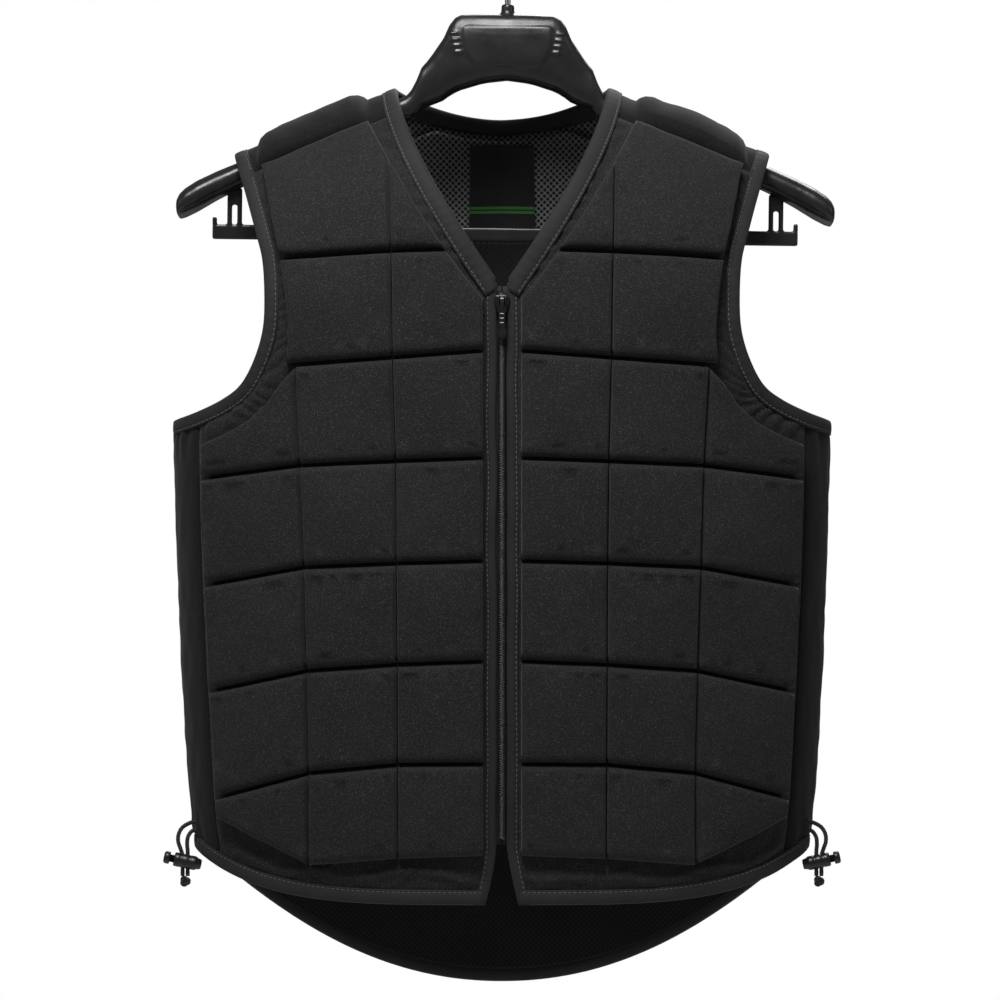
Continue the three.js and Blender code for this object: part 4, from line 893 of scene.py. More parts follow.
def upper_blocks(neck_edge):
    one, two, three = (channel_at(i) for i in range(3))
    top_x = CHEST_HALF * DIVIDER_TOP
    one_share = crossing(lambda t: armhole_foam(t)[1] < one["outer"])
    two_share = crossing(lambda t: armhole_foam(t)[1] < two["outer"])
    turn_share = crossing(lambda t: armhole_foam(t)[0] > three["at_side"])
    inner_top = neck_edge(top_x)
    arm_top = armhole_foam(SEAM_ARM)

    def seam_top(x):
        return x, float(seam_z(x)) - CHANNEL_WIDTH

    def beside_arm(start, end):
        return [armhole_foam(t) for t in np.linspace(start, end, 6)[1:-1]]

    return [
        [inner_top, seam_top(min(inner_top[0] + 0.014, top_x + 0.018)), seam_top(arm_top[0]),
         *beside_arm(SEAM_ARM, one_share), (armhole_foam(one_share)[0], one["outer"]),
         (one["at_inner"], one["inner"])],
        [(one["at_inner"], one["inner"]), (armhole_foam(one_share)[0], one["outer"]),
         *beside_arm(one_share, two_share), (armhole_foam(two_share)[0], two["outer"]),
         (two["at_inner"], two["inner"])],
        [(two["at_outer"], two["outer"]), (three["at_outer"], three["outer"]),
         (three["at_side"], three["side"]),
         *[armhole_foam(t) for t in np.linspace(turn_share, two_share, 7)[:-1]]],
        [(two["at_inner"], two["inner"]), (two["at_outer"], two["outer"]),
         (three["at_outer"], three["outer"]), (three["at_inner"], three["inner"])],
    ]


def inner_block(centre, top, below):
    return [(centre, top["zip"]), (top["at_inner"], top["inner"]), (below["at_inner"], below["inner"]),
            (centre, below["zip"])]


def lower_blocks(centre):
    blocks = []
    for index in range(2, 6):
        top, below = channel_at(index), channel_at(index + 1)
        blocks += [
            inner_block(centre, top, below),
            [(top["at_inner"], top["inner"]), (top["at_outer"], top["outer"]),
             (below["at_outer"], below["outer"]), (below["at_inner"], below["inner"])],
            [(top["at_outer"], top["outer"]), (top["at_side"], top["side"]),
             (below["at_side"], below["side"]), (below["at_outer"], below["outer"])],
        ]
    return blocks


def neck_foam(share):
    flange = NECK_FLANGE + (V_FLANGE - NECK_FLANGE) * min(1, share)
    x, z = beside_neck_front(share, BINDING_WIDTH + flange)
    return float(x), float(z)


def front_blocks():
    centre = FACING_INNER + FACING_WIDTH + 0.0013
    one, two, three = (channel_at(i) for i in range(3))
    top_share = crossing(lambda t: neck_foam(t)[0] < CHEST_HALF * DIVIDER_TOP)
    one_share = crossing(lambda t: neck_foam(t)[1] < one["zip"])
    corner_share = PAST_V * crossing(lambda t: neck_foam(PAST_V * t)[0] < centre)
    at_one = (neck_foam(one_share)[0], one["zip"])
    return [
        *upper_blocks(lambda x: neck_foam(top_share)),
        inner_block(centre, two, three),
        [neck_foam(top_share), (one["at_inner"], one["inner"]), at_one,
         neck_foam((top_share + one_share) / 2)],
        [at_one, (one["at_inner"], one["inner"]), (two["at_inner"], two["inner"]), (centre, two["zip"]),
         neck_foam(corner_share), neck_foam((one_share + corner_share) / 2)],
        *lower_blocks(centre),
    ]


def back_blocks():
    centre = 0.0004
    one, two, three, seven = (channel_at(i) for i in (0, 1, 2, 6))
    top_x = CHEST_HALF * DIVIDER_TOP

    def top_at(x):
        level = float(neck_back(min(x, NECK_HALF))) - BINDING_WIDTH - BACK_NECK_FLANGE
        return x, min(level, float(seam_z(x)) - CHANNEL_WIDTH)

    def tail_at(share, x):
        return x, NECK_Z - BACK_LENGTH * share

    return [
        *upper_blocks(top_at),
        inner_block(centre, two, three),
        [(centre, one["zip"]), (one["at_inner"], one["inner"]), top_at(top_x), top_at(top_x / 2),
         top_at(centre)],
        inner_block(centre, one, two),
        *lower_blocks(centre),
        [(centre, seven["zip"]), (seven["at_inner"], seven["inner"]),
         tail_at(TAIL_ROW[1], seven["at_inner"]), tail_at(TAIL_ROW[0], centre)],
        [(seven["at_inner"], seven["inner"]), (seven["at_outer"], seven["outer"]),
         tail_at(TAIL_ROW[2], seven["at_outer"]), tail_at(TAIL_ROW[1], seven["at_inner"])],
    ]


# Polygons in the front view
def area(polygon):
    x, z = polygon[:, 0], polygon[:, 1]
    return float(np.sum(x * np.roll(z, -1) - np.roll(x, -1) * z)) / 2


def counter_clockwise(polygon):
    return polygon[::-1] if area(polygon) < 0 else polygon


def inset(polygon, distance):
    before = polygon - np.roll(polygon, 1, 0)
    after = np.roll(polygon, -1, 0) - polygon
    before /= np.maximum(1e-9, np.linalg.norm(before, axis=1, keepdims=True))
    after /= np.maximum(1e-9, np.linalg.norm(after, axis=1, keepdims=True))
    miter = np.stack([-before[:, 1] - after[:, 1], before[:, 0] + after[:, 0]], -1)
    miter /= np.maximum(0.5, 1 + np.sum(before * after, 1))[:, None]
    return polygon + miter * distance


def inside(points, polygon):
    x, z = points[:, 0], points[:, 1]
    found = np.zeros(len(points), bool)
    for (x1, z1), (x2, z2) in zip(polygon, np.roll(polygon, -1, 0)):
        if z1 != z2:
            crosses = (z1 > z) != (z2 > z)
            found ^= crosses & (x < (x2 - x1) * (z - z1) / (z2 - z1) + x1)
    return found


def rounded(corners, radius):
    """An outline whose corners are round."""
    corners = np.array(corners)
    t = np.linspace(0, 1, 5)[:, None]
    arcs = []
    for i, corner in enumerate(corners):
        back = corners[i - 1] - corner
        on = corners[(i + 1) % len(corners)] - corner
        start = corner + back * min(0.45, radius / np.linalg.norm(back))
        end = corner + on * min(0.45, radius / np.linalg.norm(on))
        arcs.append((1 - t) ** 2 * start + 2 * t * (1 - t) * corner + t ** 2 * end)
    return np.concatenate(arcs)


def foam_rings(corners, step):
    """Rings of a foam block from its foot up: steep beside upright seams, soft beside level ones."""
    corners = counter_clockwise(np.array(corners))
    sides = np.roll(corners, -1, 0) - corners
    length = np.linalg.norm(sides, axis=1)
    inward = np.stack([-sides[:, 1], sides[:, 0]], -1) / length[:, None]
    level = (sides[:, 0] / length) ** 2 * np.where(inward[:, 1] > 0, UNDERSIDE, TOP_SIDE)
    counts = np.maximum(1, np.rint(length / step).astype(int))
    rings = []
    for steep, soft, _ in FOAM_RINGS:
        shift = steep + (soft - steep) * level
        moved = []
        for i, corner in enumerate(corners):
            before, after = inward[i - 1], inward[i]
            cross = before[0] * after[1] - before[1] * after[0]
            if abs(cross) < 0.25:
                moved.append(corner + (before + after) / 2 * (shift[i - 1] + shift[i]) / 2)
            else:
                moved.append(corner + np.linalg.solve(np.array([before, after]), (shift[i - 1], shift[i])))
        ring = []
        for i, count in enumerate(counts):
            t = np.arange(count)[:, None] / count
            ring.append(moved[i] + (moved[(i + 1) % len(moved)] - moved[i]) * t)
        rings.append(np.concatenate(ring))
    return rings


def triangulated(contour, holes, spacing):
    """Triangles that fill the contour round its holes, with points spaced over the bare cloth."""
    loops = [contour, *holes]
    edge = np.concatenate(loops)
    low, high = contour.min(0), contour.max(0)
    x, z = np.meshgrid(np.arange(low[0], high[0], spacing), np.arange(low[1], high[1], spacing * 0.87))
    x = x + (np.arange(len(x)) % 2)[:, None] * spacing / 2
    free = np.stack([x.ravel(), z.ravel()], -1)
    free = free[inside(free, contour)]
    for hole in holes:
        free = free[~inside(free, hole)]
    near = np.array([np.min(np.sum((edge - p) ** 2, 1)) < (spacing * 0.45) ** 2 for p in free], bool)
    free = free[~near] if len(free) else free
    lines = []
    start = 0
    for loop in loops:
        lines += [(start + i, start + (i + 1) % len(loop)) for i in range(len(loop))]
        start += len(loop)
    scaled = [Vector((p[0] * 1000, p[1] * 1000)) for p in np.concatenate([edge, free])]
    found = delaunay_2d_cdt(scaled, lines, [], 0, 1e-4)
    points = np.array([v[:] for v in found[0]]) / 1000
    faces = np.array([face for face in found[2] if len(face) == 3])
    centres = points[faces].mean(1)
    keep = inside(centres, contour)
    for hole in holes:
        keep &= ~inside(centres, hole)
    return points, faces[keep]


def run_along(line):
    """How far along a line of points each of them is."""
    return np.concatenate([[0], np.cumsum(np.linalg.norm(np.diff(line, axis=0), axis=1))])


def nearest_on(line, points):
    """Each point's distance to a line of points, and how far along the line that is."""
    best = np.full(len(points), 1e9)
    at = np.zeros(len(points))
    for point, place in zip(line, run_along(line)):
        gap = np.sum((points - point) ** 2, 1)
        closer = gap < best
        best[closer] = gap[closer]
        at[closer] = place
    return np.sqrt(best), at


# Quilted panels
# Rings of a foam block: distance in from an upright side and from a level side, share of the height
FOAM_RINGS = [
    (0.0004, 0.0010, 0.00), (0.0005, 0.0012, 0.34), (0.0006, 0.0017, 0.62), (0.0009, 0.0026, 0.82),
    (0.0014, 0.0040, 0.93), (0.0021, 0.0058, 0.985), (0.0030, 0.0078, 1.00),
]
UNDERSIDE = 1.35
TOP_SIDE = 0.6
FOAM_CROWN = 0.0018
CROWN_REACH = 0.032

# Spacing of the points round a block, on its top, on the bare cloth and on the lining
RING_SPACING = 0.0045
TOP_SPACING = 0.006
CLOTH_SPACING = 0.0019
LINING_SPACING = 0.012

# Gathers beside the armhole's tape: their strength at distances along the tape, and the ridge
# that they lie on
GATHER_HEIGHT = 0.0024
GATHER_PITCH = 0.0085
GATHER_FADE = 0.013
GATHER_STRENGTH = ([0, 0.10, 0.17, 0.30], [0.7, 0.8, 1.1, 1.2])
RIDGE_HEIGHT = 0.0008
RIDGE_AT = 0.006

# Ripples beside the neck's tape
RIPPLE_HEIGHT = 0.0009
RIPPLE_PITCH = 0.014
RIPPLE_FADE = 0.010

# The roll that runs above the hem's tape, and the creases across it
ROLL_HEIGHT = 0.0026
ROLL_AT = 0.0075
ROLL_WANDER = 0.0022
ROLL_FADE = 0.0032
CREASE_HEIGHT = 0.0015
CREASE_AT = 0.008
CREASE_FADE = 0.010

# Slack of the whole panel, and the dip along its sewn edges
BROAD_SLACK = 0.0006
SMALL_SLACK = 0.00018
DEEPEST_FOLD = 0.0018
EDGE_FADE = 0.0036
EDGE_DIP = 0.0013
DIP_FADE = 0.0032


def armhole_gathers(points, wobble, side):
    arm = beside_armhole(np.linspace(SEAM_ARM, 1, 160), BINDING_WIDTH)
    away, along = nearest_on(np.stack(arm, -1), points)
    phase = (along + 0.5 * away) * math.pi / GATHER_PITCH + 1.5 * wobble + side
    creases = GATHER_HEIGHT * (np.abs(np.sin(phase)) ** 0.7 - 0.5) * faded(away, GATHER_FADE)
    ridge_lift = RIDGE_HEIGHT * faded(away - RIDGE_AT, RIDGE_AT)
    return np.interp(along, *GATHER_STRENGTH) * (creases + ridge_lift)


def neck_ripples(points, wobble, face):
    if face < 0:
        neck = beside_neck_front(np.linspace(SEAM_NECK, 1, 120), BINDING_WIDTH)
    else:
        neck = beside_neck_back(np.linspace(0, SEAM_BACK, 60), BINDING_WIDTH)
    away, along = nearest_on(np.stack(neck, -1), points)
    phase = along * 2 * math.pi / RIPPLE_PITCH + 1.5 * wobble
    return RIPPLE_HEIGHT * np.sin(phase) * faded(away, RIPPLE_FADE)


def hem_folds(points, seeded, face):
    above = points[:, 1] - hem_z(points[:, 0], face) - BINDING_WIDTH
    folds = waves(seeded * np.array((1.0, 0.45)), 0.021, 23 + face)
    slack = waves(seeded * np.array((1.0, 0.2)), 0.045, 29 + face)
    roll = faded(above - ROLL_AT - ROLL_WANDER * slack, ROLL_FADE) * (0.8 + 0.2 * folds)
    creases = (1 - np.minimum(1, np.abs(folds))) ** 2 * faded(above - CREASE_AT, CREASE_FADE)
    return ROLL_HEIGHT * roll + CREASE_HEIGHT * creases


def cloth_lift(points, face, side, edge):
    """How far the cloth of a panel stands off its form."""
    seeded = points + np.array((0, 7.0 * side + 3.0 * face))
    wobble = waves(seeded, 0.05, 11)
    lift = armhole_gathers(points, wobble, side) + neck_ripples(points, wobble, face)
    lift += hem_folds(points, seeded, face)
    lift += BROAD_SLACK * waves(seeded, 0.11, 31) + SMALL_SLACK * waves(seeded, 0.022, 37)
    from_edge, _ = nearest_on(edge, points)
    lift = lift * (1 - faded(from_edge, EDGE_FADE)) - EDGE_DIP * faded(from_edge, DIP_FADE)
    return np.maximum(lift, -DEEPEST_FOLD)


def add_block(shell, rings, place):
    """The walls and the crowned top of a foam block."""
    walls = [place(ring, FOAM_HEIGHT * share) for ring, (_, _, share) in zip(rings, FOAM_RINGS)]
    shell.grid(np.array(walls), closed_columns=True)
    top, faces = triangulated(rings[-1], [], TOP_SPACING)
    from_ring, _ = nearest_on(rings[-1], top)
    rise = 1 - (1 - np.minimum(1, from_ring / CROWN_REACH)) ** 2
    start = shell.add(place(top, FOAM_HEIGHT + FOAM_CROWN * rise))
    shell.polygons((faces + start).tolist())


def add_panel(shell, outline, blocks, face, side):
    edge = outline[outline[:, 0] > 1e-6]

    def place(points, height):
        lift = cloth_lift(points, face, side, edge)
        return skin(points[:, 0] * side, points[:, 1], face, height + lift)

    rings_of = [foam_rings(block, RING_SPACING) for block in blocks]
    bare, faces = triangulated(outline, [rings[0] for rings in rings_of], CLOTH_SPACING)
    start = shell.add(place(bare, 0.0))
    shell.polygons((faces + start).tolist())
    for rings in rings_of:
        add_block(shell, rings, place)
    inner, faces = triangulated(outline, [], LINING_SPACING)
    start = shell.add(skin(inner[:, 0] * side, inner[:, 1], face, -CLOTH_WALL))
    shell.polygons((faces[:, ::-side] + start).tolist(), 1)
    rim = np.vstack([outline, outline[:1]])
    under = skin(rim[:, 0] * side, rim[:, 1], face, -CLOTH_WALL)
    shell.grid(np.stack([place(rim, 0.0), under]))


def stacked(x, z):
    return np.stack(np.broadcast_arrays(np.asarray(x, float), np.asarray(z, float)), -1)


def front_outline():
    edge_inset = BINDING_WIDTH - TUCK
    side_share = armhole_at_angle(SIDE_SEAM_ANGLE, edge_inset)
    neck = stacked(*beside_neck_front(np.linspace(SEAM_NECK, 1, 50), edge_inset))
    arm = stacked(*beside_armhole(np.linspace(SEAM_ARM, side_share, 80), edge_inset))
    zip_x = float(facing_edge(NECK_Z - FRONT_LENGTH)) + FACING_WIDTH - TUCK
    hem_end = hem_at_angle(SIDE_SEAM_ANGLE, -1, edge_inset)
    hem = stacked(*beside_hem(np.linspace(zip_x, hem_end, 60), -1, edge_inset))
    side_z = np.linspace(arm[-1, 1], hem[-1, 1], 80)
    side = stacked(width_at_angle(SIDE_SEAM_ANGLE, side_z), side_z)
    neck = neck[neck[:, 0] > FACING_INNER + FACING_WIDTH]
    edge_z = np.linspace(hem[0, 1], neck[-1, 1] - 0.002, 90)
    edge = stacked(facing_edge(edge_z) + FACING_WIDTH - TUCK, edge_z)
    seam_x = np.linspace(neck[0, 0], arm[0, 0], 26)
    seam = stacked(seam_x, seam_z(seam_x))
    return np.concatenate([seam, arm[1:], side[1:-1], hem[::-1], edge[1:], neck[::-1][:-1]])


def back_outline():
    edge_inset = BINDING_WIDTH - TUCK
    side_share = armhole_at_angle(SIDE_SEAM_ANGLE, edge_inset)
    neck = stacked(*beside_neck_back(np.linspace(0, SEAM_BACK, 24), edge_inset))
    arm = stacked(*beside_armhole(np.linspace(SEAM_ARM, side_share, 80), edge_inset))
    hem_end = hem_at_angle(SIDE_SEAM_ANGLE, 1, edge_inset)
    hem = stacked(*beside_hem(np.linspace(0, hem_end, 60), 1, edge_inset))
    side_z = np.linspace(arm[-1, 1], hem[-1, 1], 80)
    side = stacked(width_at_angle(SIDE_SEAM_ANGLE, side_z), side_z)
    seam_x = np.linspace(neck[-1, 0], arm[0, 0], 26)
    seam = stacked(seam_x, seam_z(seam_x))
    centre_z = np.linspace(hem[0, 1], neck[0, 1], 110)
    centre = stacked(0, centre_z)
    return np.concatenate([seam, arm[1:], side[1:-1], hem[::-1], centre[1:], neck[1:-1]])


def make_panels():
    front = counter_clockwise(front_outline())
    for name, side in SIDES:
        shell = Shell()
        add_panel(shell, front, front_blocks(), -1, side)
        panel = piece(f"front_quilting_{name}", shell, [SHELL, MESH], "shell",
                      replaces=[f"front_panel_{name}"], weld=WELD)
    back = counter_clockwise(back_outline())
    shell = Shell()
    for _, side in SIDES:
        add_panel(shell, back, back_blocks(), 1, side)
    panel = piece("back_quilting", shell, [SHELL, MESH], "shell", replaces=["back_panel"], weld=WELD)


# Shoulder straps with their pads
PAD_ACROSS = np.array([
    (0.0, 0.0), (0.02, 0.35), (0.06, 0.72), (0.13, 0.94), (0.45, 1.10), (0.76, 0.98), (0.88, 0.80),
    (0.95, 0.52), (1.0, 0.0),
])
PAD_ALONG = np.array([(0.0, 1.0), (0.80, 0.97), (0.92, 0.80), (0.97, 0.45), (1.0, 0.0)])
STRAP_HALF = 0.03
STRAP_DIP = 0.0014
STRAP_DIP_FADE = 0.0022
STRAP_SLACK = 0.0004
STRAP_SMALL_SLACK = 0.00018


def strap_lines(rows, distance):
    """Neck and armhole lines over the strap, for rows from the front seam to the back seam."""
    drop = SHOULDER_SEAM_DROP * rows * rows
    front_x, _ = beside_neck_front(neck_share_at(drop), distance)
    back_x, _ = beside_neck_back(neck_back_at(drop), distance)
    arm_x, _ = beside_armhole(armhole_share_at(drop), distance)
    return np.where(rows <= 0, front_x, back_x), arm_x, drop


def pad_height(share, rows):
    """How far the pad stands up, from its place across the strap and along it."""
    raised = np.where((share > 0) & (share < 1), interpolate(PAD_ACROSS, np.clip(share, 0, 1), 1), 0)
    return PAD_HEIGHT * (raised * interpolate(PAD_ALONG, np.abs(rows), 1)[:, None])


def make_shoulders():
    rows = np.linspace(-1, 1, 61)
    neck_x, arm_x, drop = strap_lines(rows, BINDING_WIDTH - TUCK)
    face = np.where(rows <= 0, -1, 1)[:, None]
    pad = PAD_FROM + (PAD_TO - PAD_FROM) * np.linspace(0, 1, 49)
    for name, side in SIDES:
        columns = np.array([
            np.concatenate([np.linspace(near, PAD_FROM, 6)[:-1], pad, np.linspace(PAD_TO, far, 5)[1:]])
            for near, far in zip(neck_x, arm_x)
        ])
        raised = pad_height((columns - PAD_FROM) / (PAD_TO - PAD_FROM), rows)
        z = ridge(columns) - drop[:, None]
        flat = np.stack([columns * side, z + 9.0 * face], -1)
        uneven = STRAP_SLACK * waves(flat, 0.05, 41) + STRAP_SMALL_SLACK * waves(flat, 0.018, 43)
        seam = STRAP_DIP * faded((1 - np.abs(rows)[:, None]) * STRAP_HALF, STRAP_DIP_FADE)
        outer = skin(columns * side, z, face, raised + uneven - seam)
        inner = skin(columns * side, z, face, -CLOTH_WALL)
        shell = Shell()
        shell.sheet(outer, inner, inner_slot=1)
        # The straps wear the pads' darker knit, which is painted shade
        strap = piece(f"shoulder_strap_{name}", shell, [SHADED_PAD_KNIT, MESH], "shell",
                      replaces=[f"shoulder_pad_{name}"], weld=WELD)


# Side panels between the front and back seams: their slack and gathers, and the dips at the
# seams and under the tapes
SIDE_SLACK = 0.0004
SIDE_SMALL_SLACK = 0.00015
SIDE_GATHER = 0.0008
SIDE_GATHERS = 38
SIDE_GATHER_FADE = 0.07
SIDE_TUCK = 0.0012
SIDE_TUCK_FADE = 0.008
SIDE_DIP = 0.0013
SIDE_DIP_FADE = 0.0026
SIDE_RADIUS = 0.11


def side_ends(angles):
    """Levels of the armhole's and the hem's tape at angles round the body."""
    edge_inset = BINDING_WIDTH - TUCK
    tops, bottoms = [], []
    for angle in angles:
        folded = min(angle, math.pi - angle)
        face = -1 if angle <= math.pi / 2 else 1
        at_side = folded > math.pi / 2 - 1e-6
        share = 1.0 if at_side else armhole_at_angle(folded, edge_inset)
        tops.append(float(beside_armhole(share, edge_inset)[1]))
        hem_x = HEM_HALF if at_side else hem_at_angle(folded, face, edge_inset)
        bottoms.append(float(beside_hem(hem_x, face, edge_inset)[1]))
    return np.array(tops), np.array(bottoms)


def side_lift(angles, folded, t, z, side):
    flat = np.stack([np.broadcast_to(angles * 0.12, z.shape) + 3.0 * side, z], -1)
    folds = SIDE_SLACK * waves(flat * np.array((1.0, 0.35)), 0.09, 51)
    folds += SIDE_SMALL_SLACK * waves(flat, 0.02, 53)
    near_edge = np.minimum(t, 1 - t)
    gathers = SIDE_GATHER * np.sin(angles * SIDE_GATHERS + 2 * waves(flat, 0.06, 57))
    gathers *= faded(near_edge, SIDE_GATHER_FADE)
    tucked = faded(near_edge, SIDE_TUCK_FADE)
    seam = SIDE_DIP * faded((folded - SIDE_SEAM_ANGLE) * SIDE_RADIUS, SIDE_DIP_FADE)
    return (folds + gathers) * (1 - tucked) - seam - SIDE_TUCK * tucked


def make_sides():
    angles = np.linspace(SIDE_SEAM_ANGLE, math.pi - SIDE_SEAM_ANGLE, 41)
    tops, bottoms = side_ends(angles)
    t = np.linspace(0, 1, 90)[:, None]
    z = bottoms + (tops - bottoms) * t
    folded = np.minimum(angles, math.pi - angles)
    x = np.minimum(width_at_angle(folded, z), half_width(z))
    face = np.where(angles <= math.pi / 2, -1, 1)
    for name, side in SIDES:
        lift = side_lift(angles, folded, t, z, side)
        shell = Shell()
        shell.sheet(skin(x * side, z, face, lift), skin(x * side, z, face, -CLOTH_WALL), inner_slot=1)
        panel = piece(f"side_stretch_{name}", shell, [SIDE_KNIT, MESH], "side_knit",
                      replaces=[f"side_panel_{name}"], weld=WELD)


# Bindings: rolled tape along an edge, with its stitching
TAPE_SECTION = [
    (0.00, 0.00), (0.015, 0.42), (0.07, 0.78), (0.17, 0.98), (0.45, 1.05), (0.72, 1.00), (0.80, 0.86),
    (0.84, 0.80), (0.88, 0.86), (0.95, 0.96), (0.99, 0.72), (1.00, 0.30), (1.00, -0.55),
    (0.95, -0.95), (0.50, -1.03), (0.17, -0.98), (0.07, -0.78), (0.015, -0.42),
]
STITCH_AT = (0.84, 0.86)
PUCKER = 0.05
PUCKER_PITCH = 0.0068
SWELL = 0.04

# A stitch: its spacing, length and radius, then shares of the length, heights and shares of the
# radius at its points
STITCH_PITCH = 0.0034
STITCH_LENGTH = 0.0023
STITCH_RADIUS = 0.00026
STITCH_SHARES = np.array((-0.5, -0.38, 0, 0.38, 0.5))
STITCH_HEIGHTS = np.array((-0.00035, 0, 0.00012, 0, -0.00035))
STITCH_WIDTHS = np.array((0.5, 1, 1.1, 1, 0.5))


def binding_rings(outer, inner, face, side, seed):
    """Rings of a rolled tape from its outer line to its inner line, and its stitch line."""
    def at(line):
        return skin(line[:, 0] * side, line[:, 1], face, -CLOTH_WALL / 2)

    def up_at(line):
        return outward(on_form(line[:, 0] * side, line[:, 1], face))

    start, end = at(outer), at(inner)
    start_up, end_up = up_at(outer), up_at(inner)
    pucker = np.sin(run_along(start) * 2 * math.pi / PUCKER_PITCH + 1.2 * waves(start, 0.04, seed))
    rings = []
    for across, up in [*TAPE_SECTION, STITCH_AT]:
        normal = start_up + (end_up - start_up) * across
        normal /= np.linalg.norm(normal, axis=1, keepdims=True)
        swell = up * (1 + PUCKER * pucker * (0.3 + across)) + SWELL * waves(start, 0.03, seed + 1)
        rings.append(start + (end - start) * across + normal * (swell * BINDING_THICK / 2)[:, None])
    stitch_up = start_up + (end_up - start_up) * STITCH_AT[0]
    return np.array(rings[:-1]).transpose(1, 0, 2), rings[-1], stitch_up


def add_stitches(shell, line, up):
    """Stitches along a line, each a short thread with both ends sunk into the cloth."""
    along = run_along(line)
    for middle in np.arange(STITCH_PITCH, along[-1] - STITCH_PITCH, STITCH_PITCH):
        shares = middle + STITCH_LENGTH * STITCH_SHARES
        centre = np.stack([np.interp(shares, along, line[:, k]) for k in range(3)], -1)
        normal = np.array([np.interp(middle, along, up[:, k]) for k in range(3)])
        normal /= np.linalg.norm(normal)
        lifted = centre + normal * STITCH_HEIGHTS[:, None]
        shell.tube(tube_rings(lifted, STITCH_RADIUS * STITCH_WIDTHS, 5))


def make_binding(name, outer, inner, face, side, closed, replaces, seed):
    rings, line, up = binding_rings(outer, inner, face, side, seed)
    tape = Shell()
    tape.tube(rings, closed=closed)
    piece(name, tape, [TAPE], "binding", replaces=replaces)
    thread = Shell()
    add_stitches(thread, line, up)
    piece(f"{name}_stitching", thread, [THREAD], "binding")


# Ends of the neck tape, turned down over the zip facings: outer edge across and down from the
# V's foot, then the inner edge
V_FOOT = [
    (-0.0004, -0.0090, 0.0068, -0.0130), (-0.0003, -0.0060, 0.0080, -0.0108),
    (-0.0001, -0.0030, 0.0100, -0.0082),
]


def make_neck_binding():
    shares = np.linspace(1, SEAM_NECK, 90)
    rows = np.linspace(-1, 1, 41)[1:]
    drop = SHOULDER_SEAM_DROP * rows * rows
    back_x = np.linspace(SEAM_BACK, 0, 40)[1:]
    strap_front = rows <= 0
    front_shares = np.concatenate([shares, neck_share_at(drop[strap_front])])
    back_xs = np.concatenate([neck_back_at(drop[~strap_front]), back_x])
    outer = np.concatenate([stacked(*neck_front(front_shares)), stacked(back_xs, neck_back(back_xs))])
    inner = np.concatenate([
        stacked(*beside_neck_front(front_shares, BINDING_WIDTH)),
        stacked(*beside_neck_back(back_xs, BINDING_WIDTH)),
    ])
    foot = NECK_Z - V_NECK_DEPTH + np.array(V_FOOT)[:, 1::2]
    reach = V_NECK_HALF + np.array(V_FOOT)[:, 0::2]
    outer = np.concatenate([np.stack([reach[:, 0], foot[:, 0]], -1), outer])
    inner = np.concatenate([np.stack([reach[:, 1], foot[:, 1]], -1), inner])
    face = np.where(np.arange(len(outer)) < len(front_shares) + len(V_FOOT), -1, 1)
    mirror = np.array((-1, 1))
    outer = np.concatenate([outer, (outer * mirror)[::-1][1:]])
    inner = np.concatenate([inner, (inner * mirror)[::-1][1:]])
    face = np.concatenate([face, face[::-1][1:]])
    make_binding("neck_tape", outer, inner, face, 1, False, ["neck_binding"], 61)


def make_armhole_bindings():
    rows = np.linspace(-1, 1, 41)
    strap = armhole_share_at(SHOULDER_SEAM_DROP * rows * rows)
    down = np.linspace(SEAM_ARM, 1, 130)[1:]
    shares = np.concatenate([strap, down, down[::-1][1:]])
    face = np.concatenate([np.where(rows <= 0, -1, 1), np.ones(len(down)), -np.ones(len(down) - 1)])
    x, z, _ = armhole(shares)
    outer = stacked(x, z)
    inner = stacked(*beside_armhole(shares, BINDING_WIDTH))
    for name, side in SIDES:
        make_binding(f"armhole_tape_{name}", outer, inner, face, side, True,
                     [f"armhole_binding_{name}"], 71 + side)


HEM_PAST_FACING = 0.0004


def make_hem_bindings():
    start = float(facing_edge(NECK_Z - FRONT_LENGTH)) - HEM_PAST_FACING
    tail_end = hem_at_angle(SIDE_SEAM_ANGLE, 1, BINDING_WIDTH)
    turn = np.linspace(0, math.pi / 2, 90)
    xs = start + (HEM_HALF - start) * np.sin(turn) ** 0.9
    behind = tail_end + (HEM_HALF - tail_end) * np.cos(np.linspace(0, math.pi / 2, 16))[1:]
    x = np.concatenate([xs, behind])
    face = np.concatenate([-np.ones(len(xs)), np.ones(len(behind))])
    outer = stacked(x, hem_z(x, face))
    inner = stacked(*beside_hem(x, face, BINDING_WIDTH))
    for name, side in SIDES:
        make_binding(f"hem_tape_{name}", outer, inner, face, side, False, [f"hem_binding_{name}"], 81 + side)
    x = np.linspace(-tail_end, tail_end, 150)
    make_binding("tail_tape", stacked(x, hem_z(x, 1)), stacked(*beside_hem(x, 1, BINDING_WIDTH)),
                 np.ones(len(x)), 1, False, ["tail_binding"], 91)


# Zip: facings, tapes, coil, slider and pull
FACING_SECTION = [
    (0.00, 0.30), (0.02, 0.62), (0.08, 0.88), (0.18, 1.0), (0.55, 1.06), (0.74, 0.98), (0.80, 0.84),
    (0.86, 0.98), (0.95, 0.94), (1.0, 0.72), (1.0, 0.0), (0.5, -0.02), (0.0, 0.0),
]
FACING_STITCH = (0.80, 0.90)
FACING_PUCKER = 0.03
FACING_PUCKER_PITCH = 0.007
FACING_WANDER = 0.0003


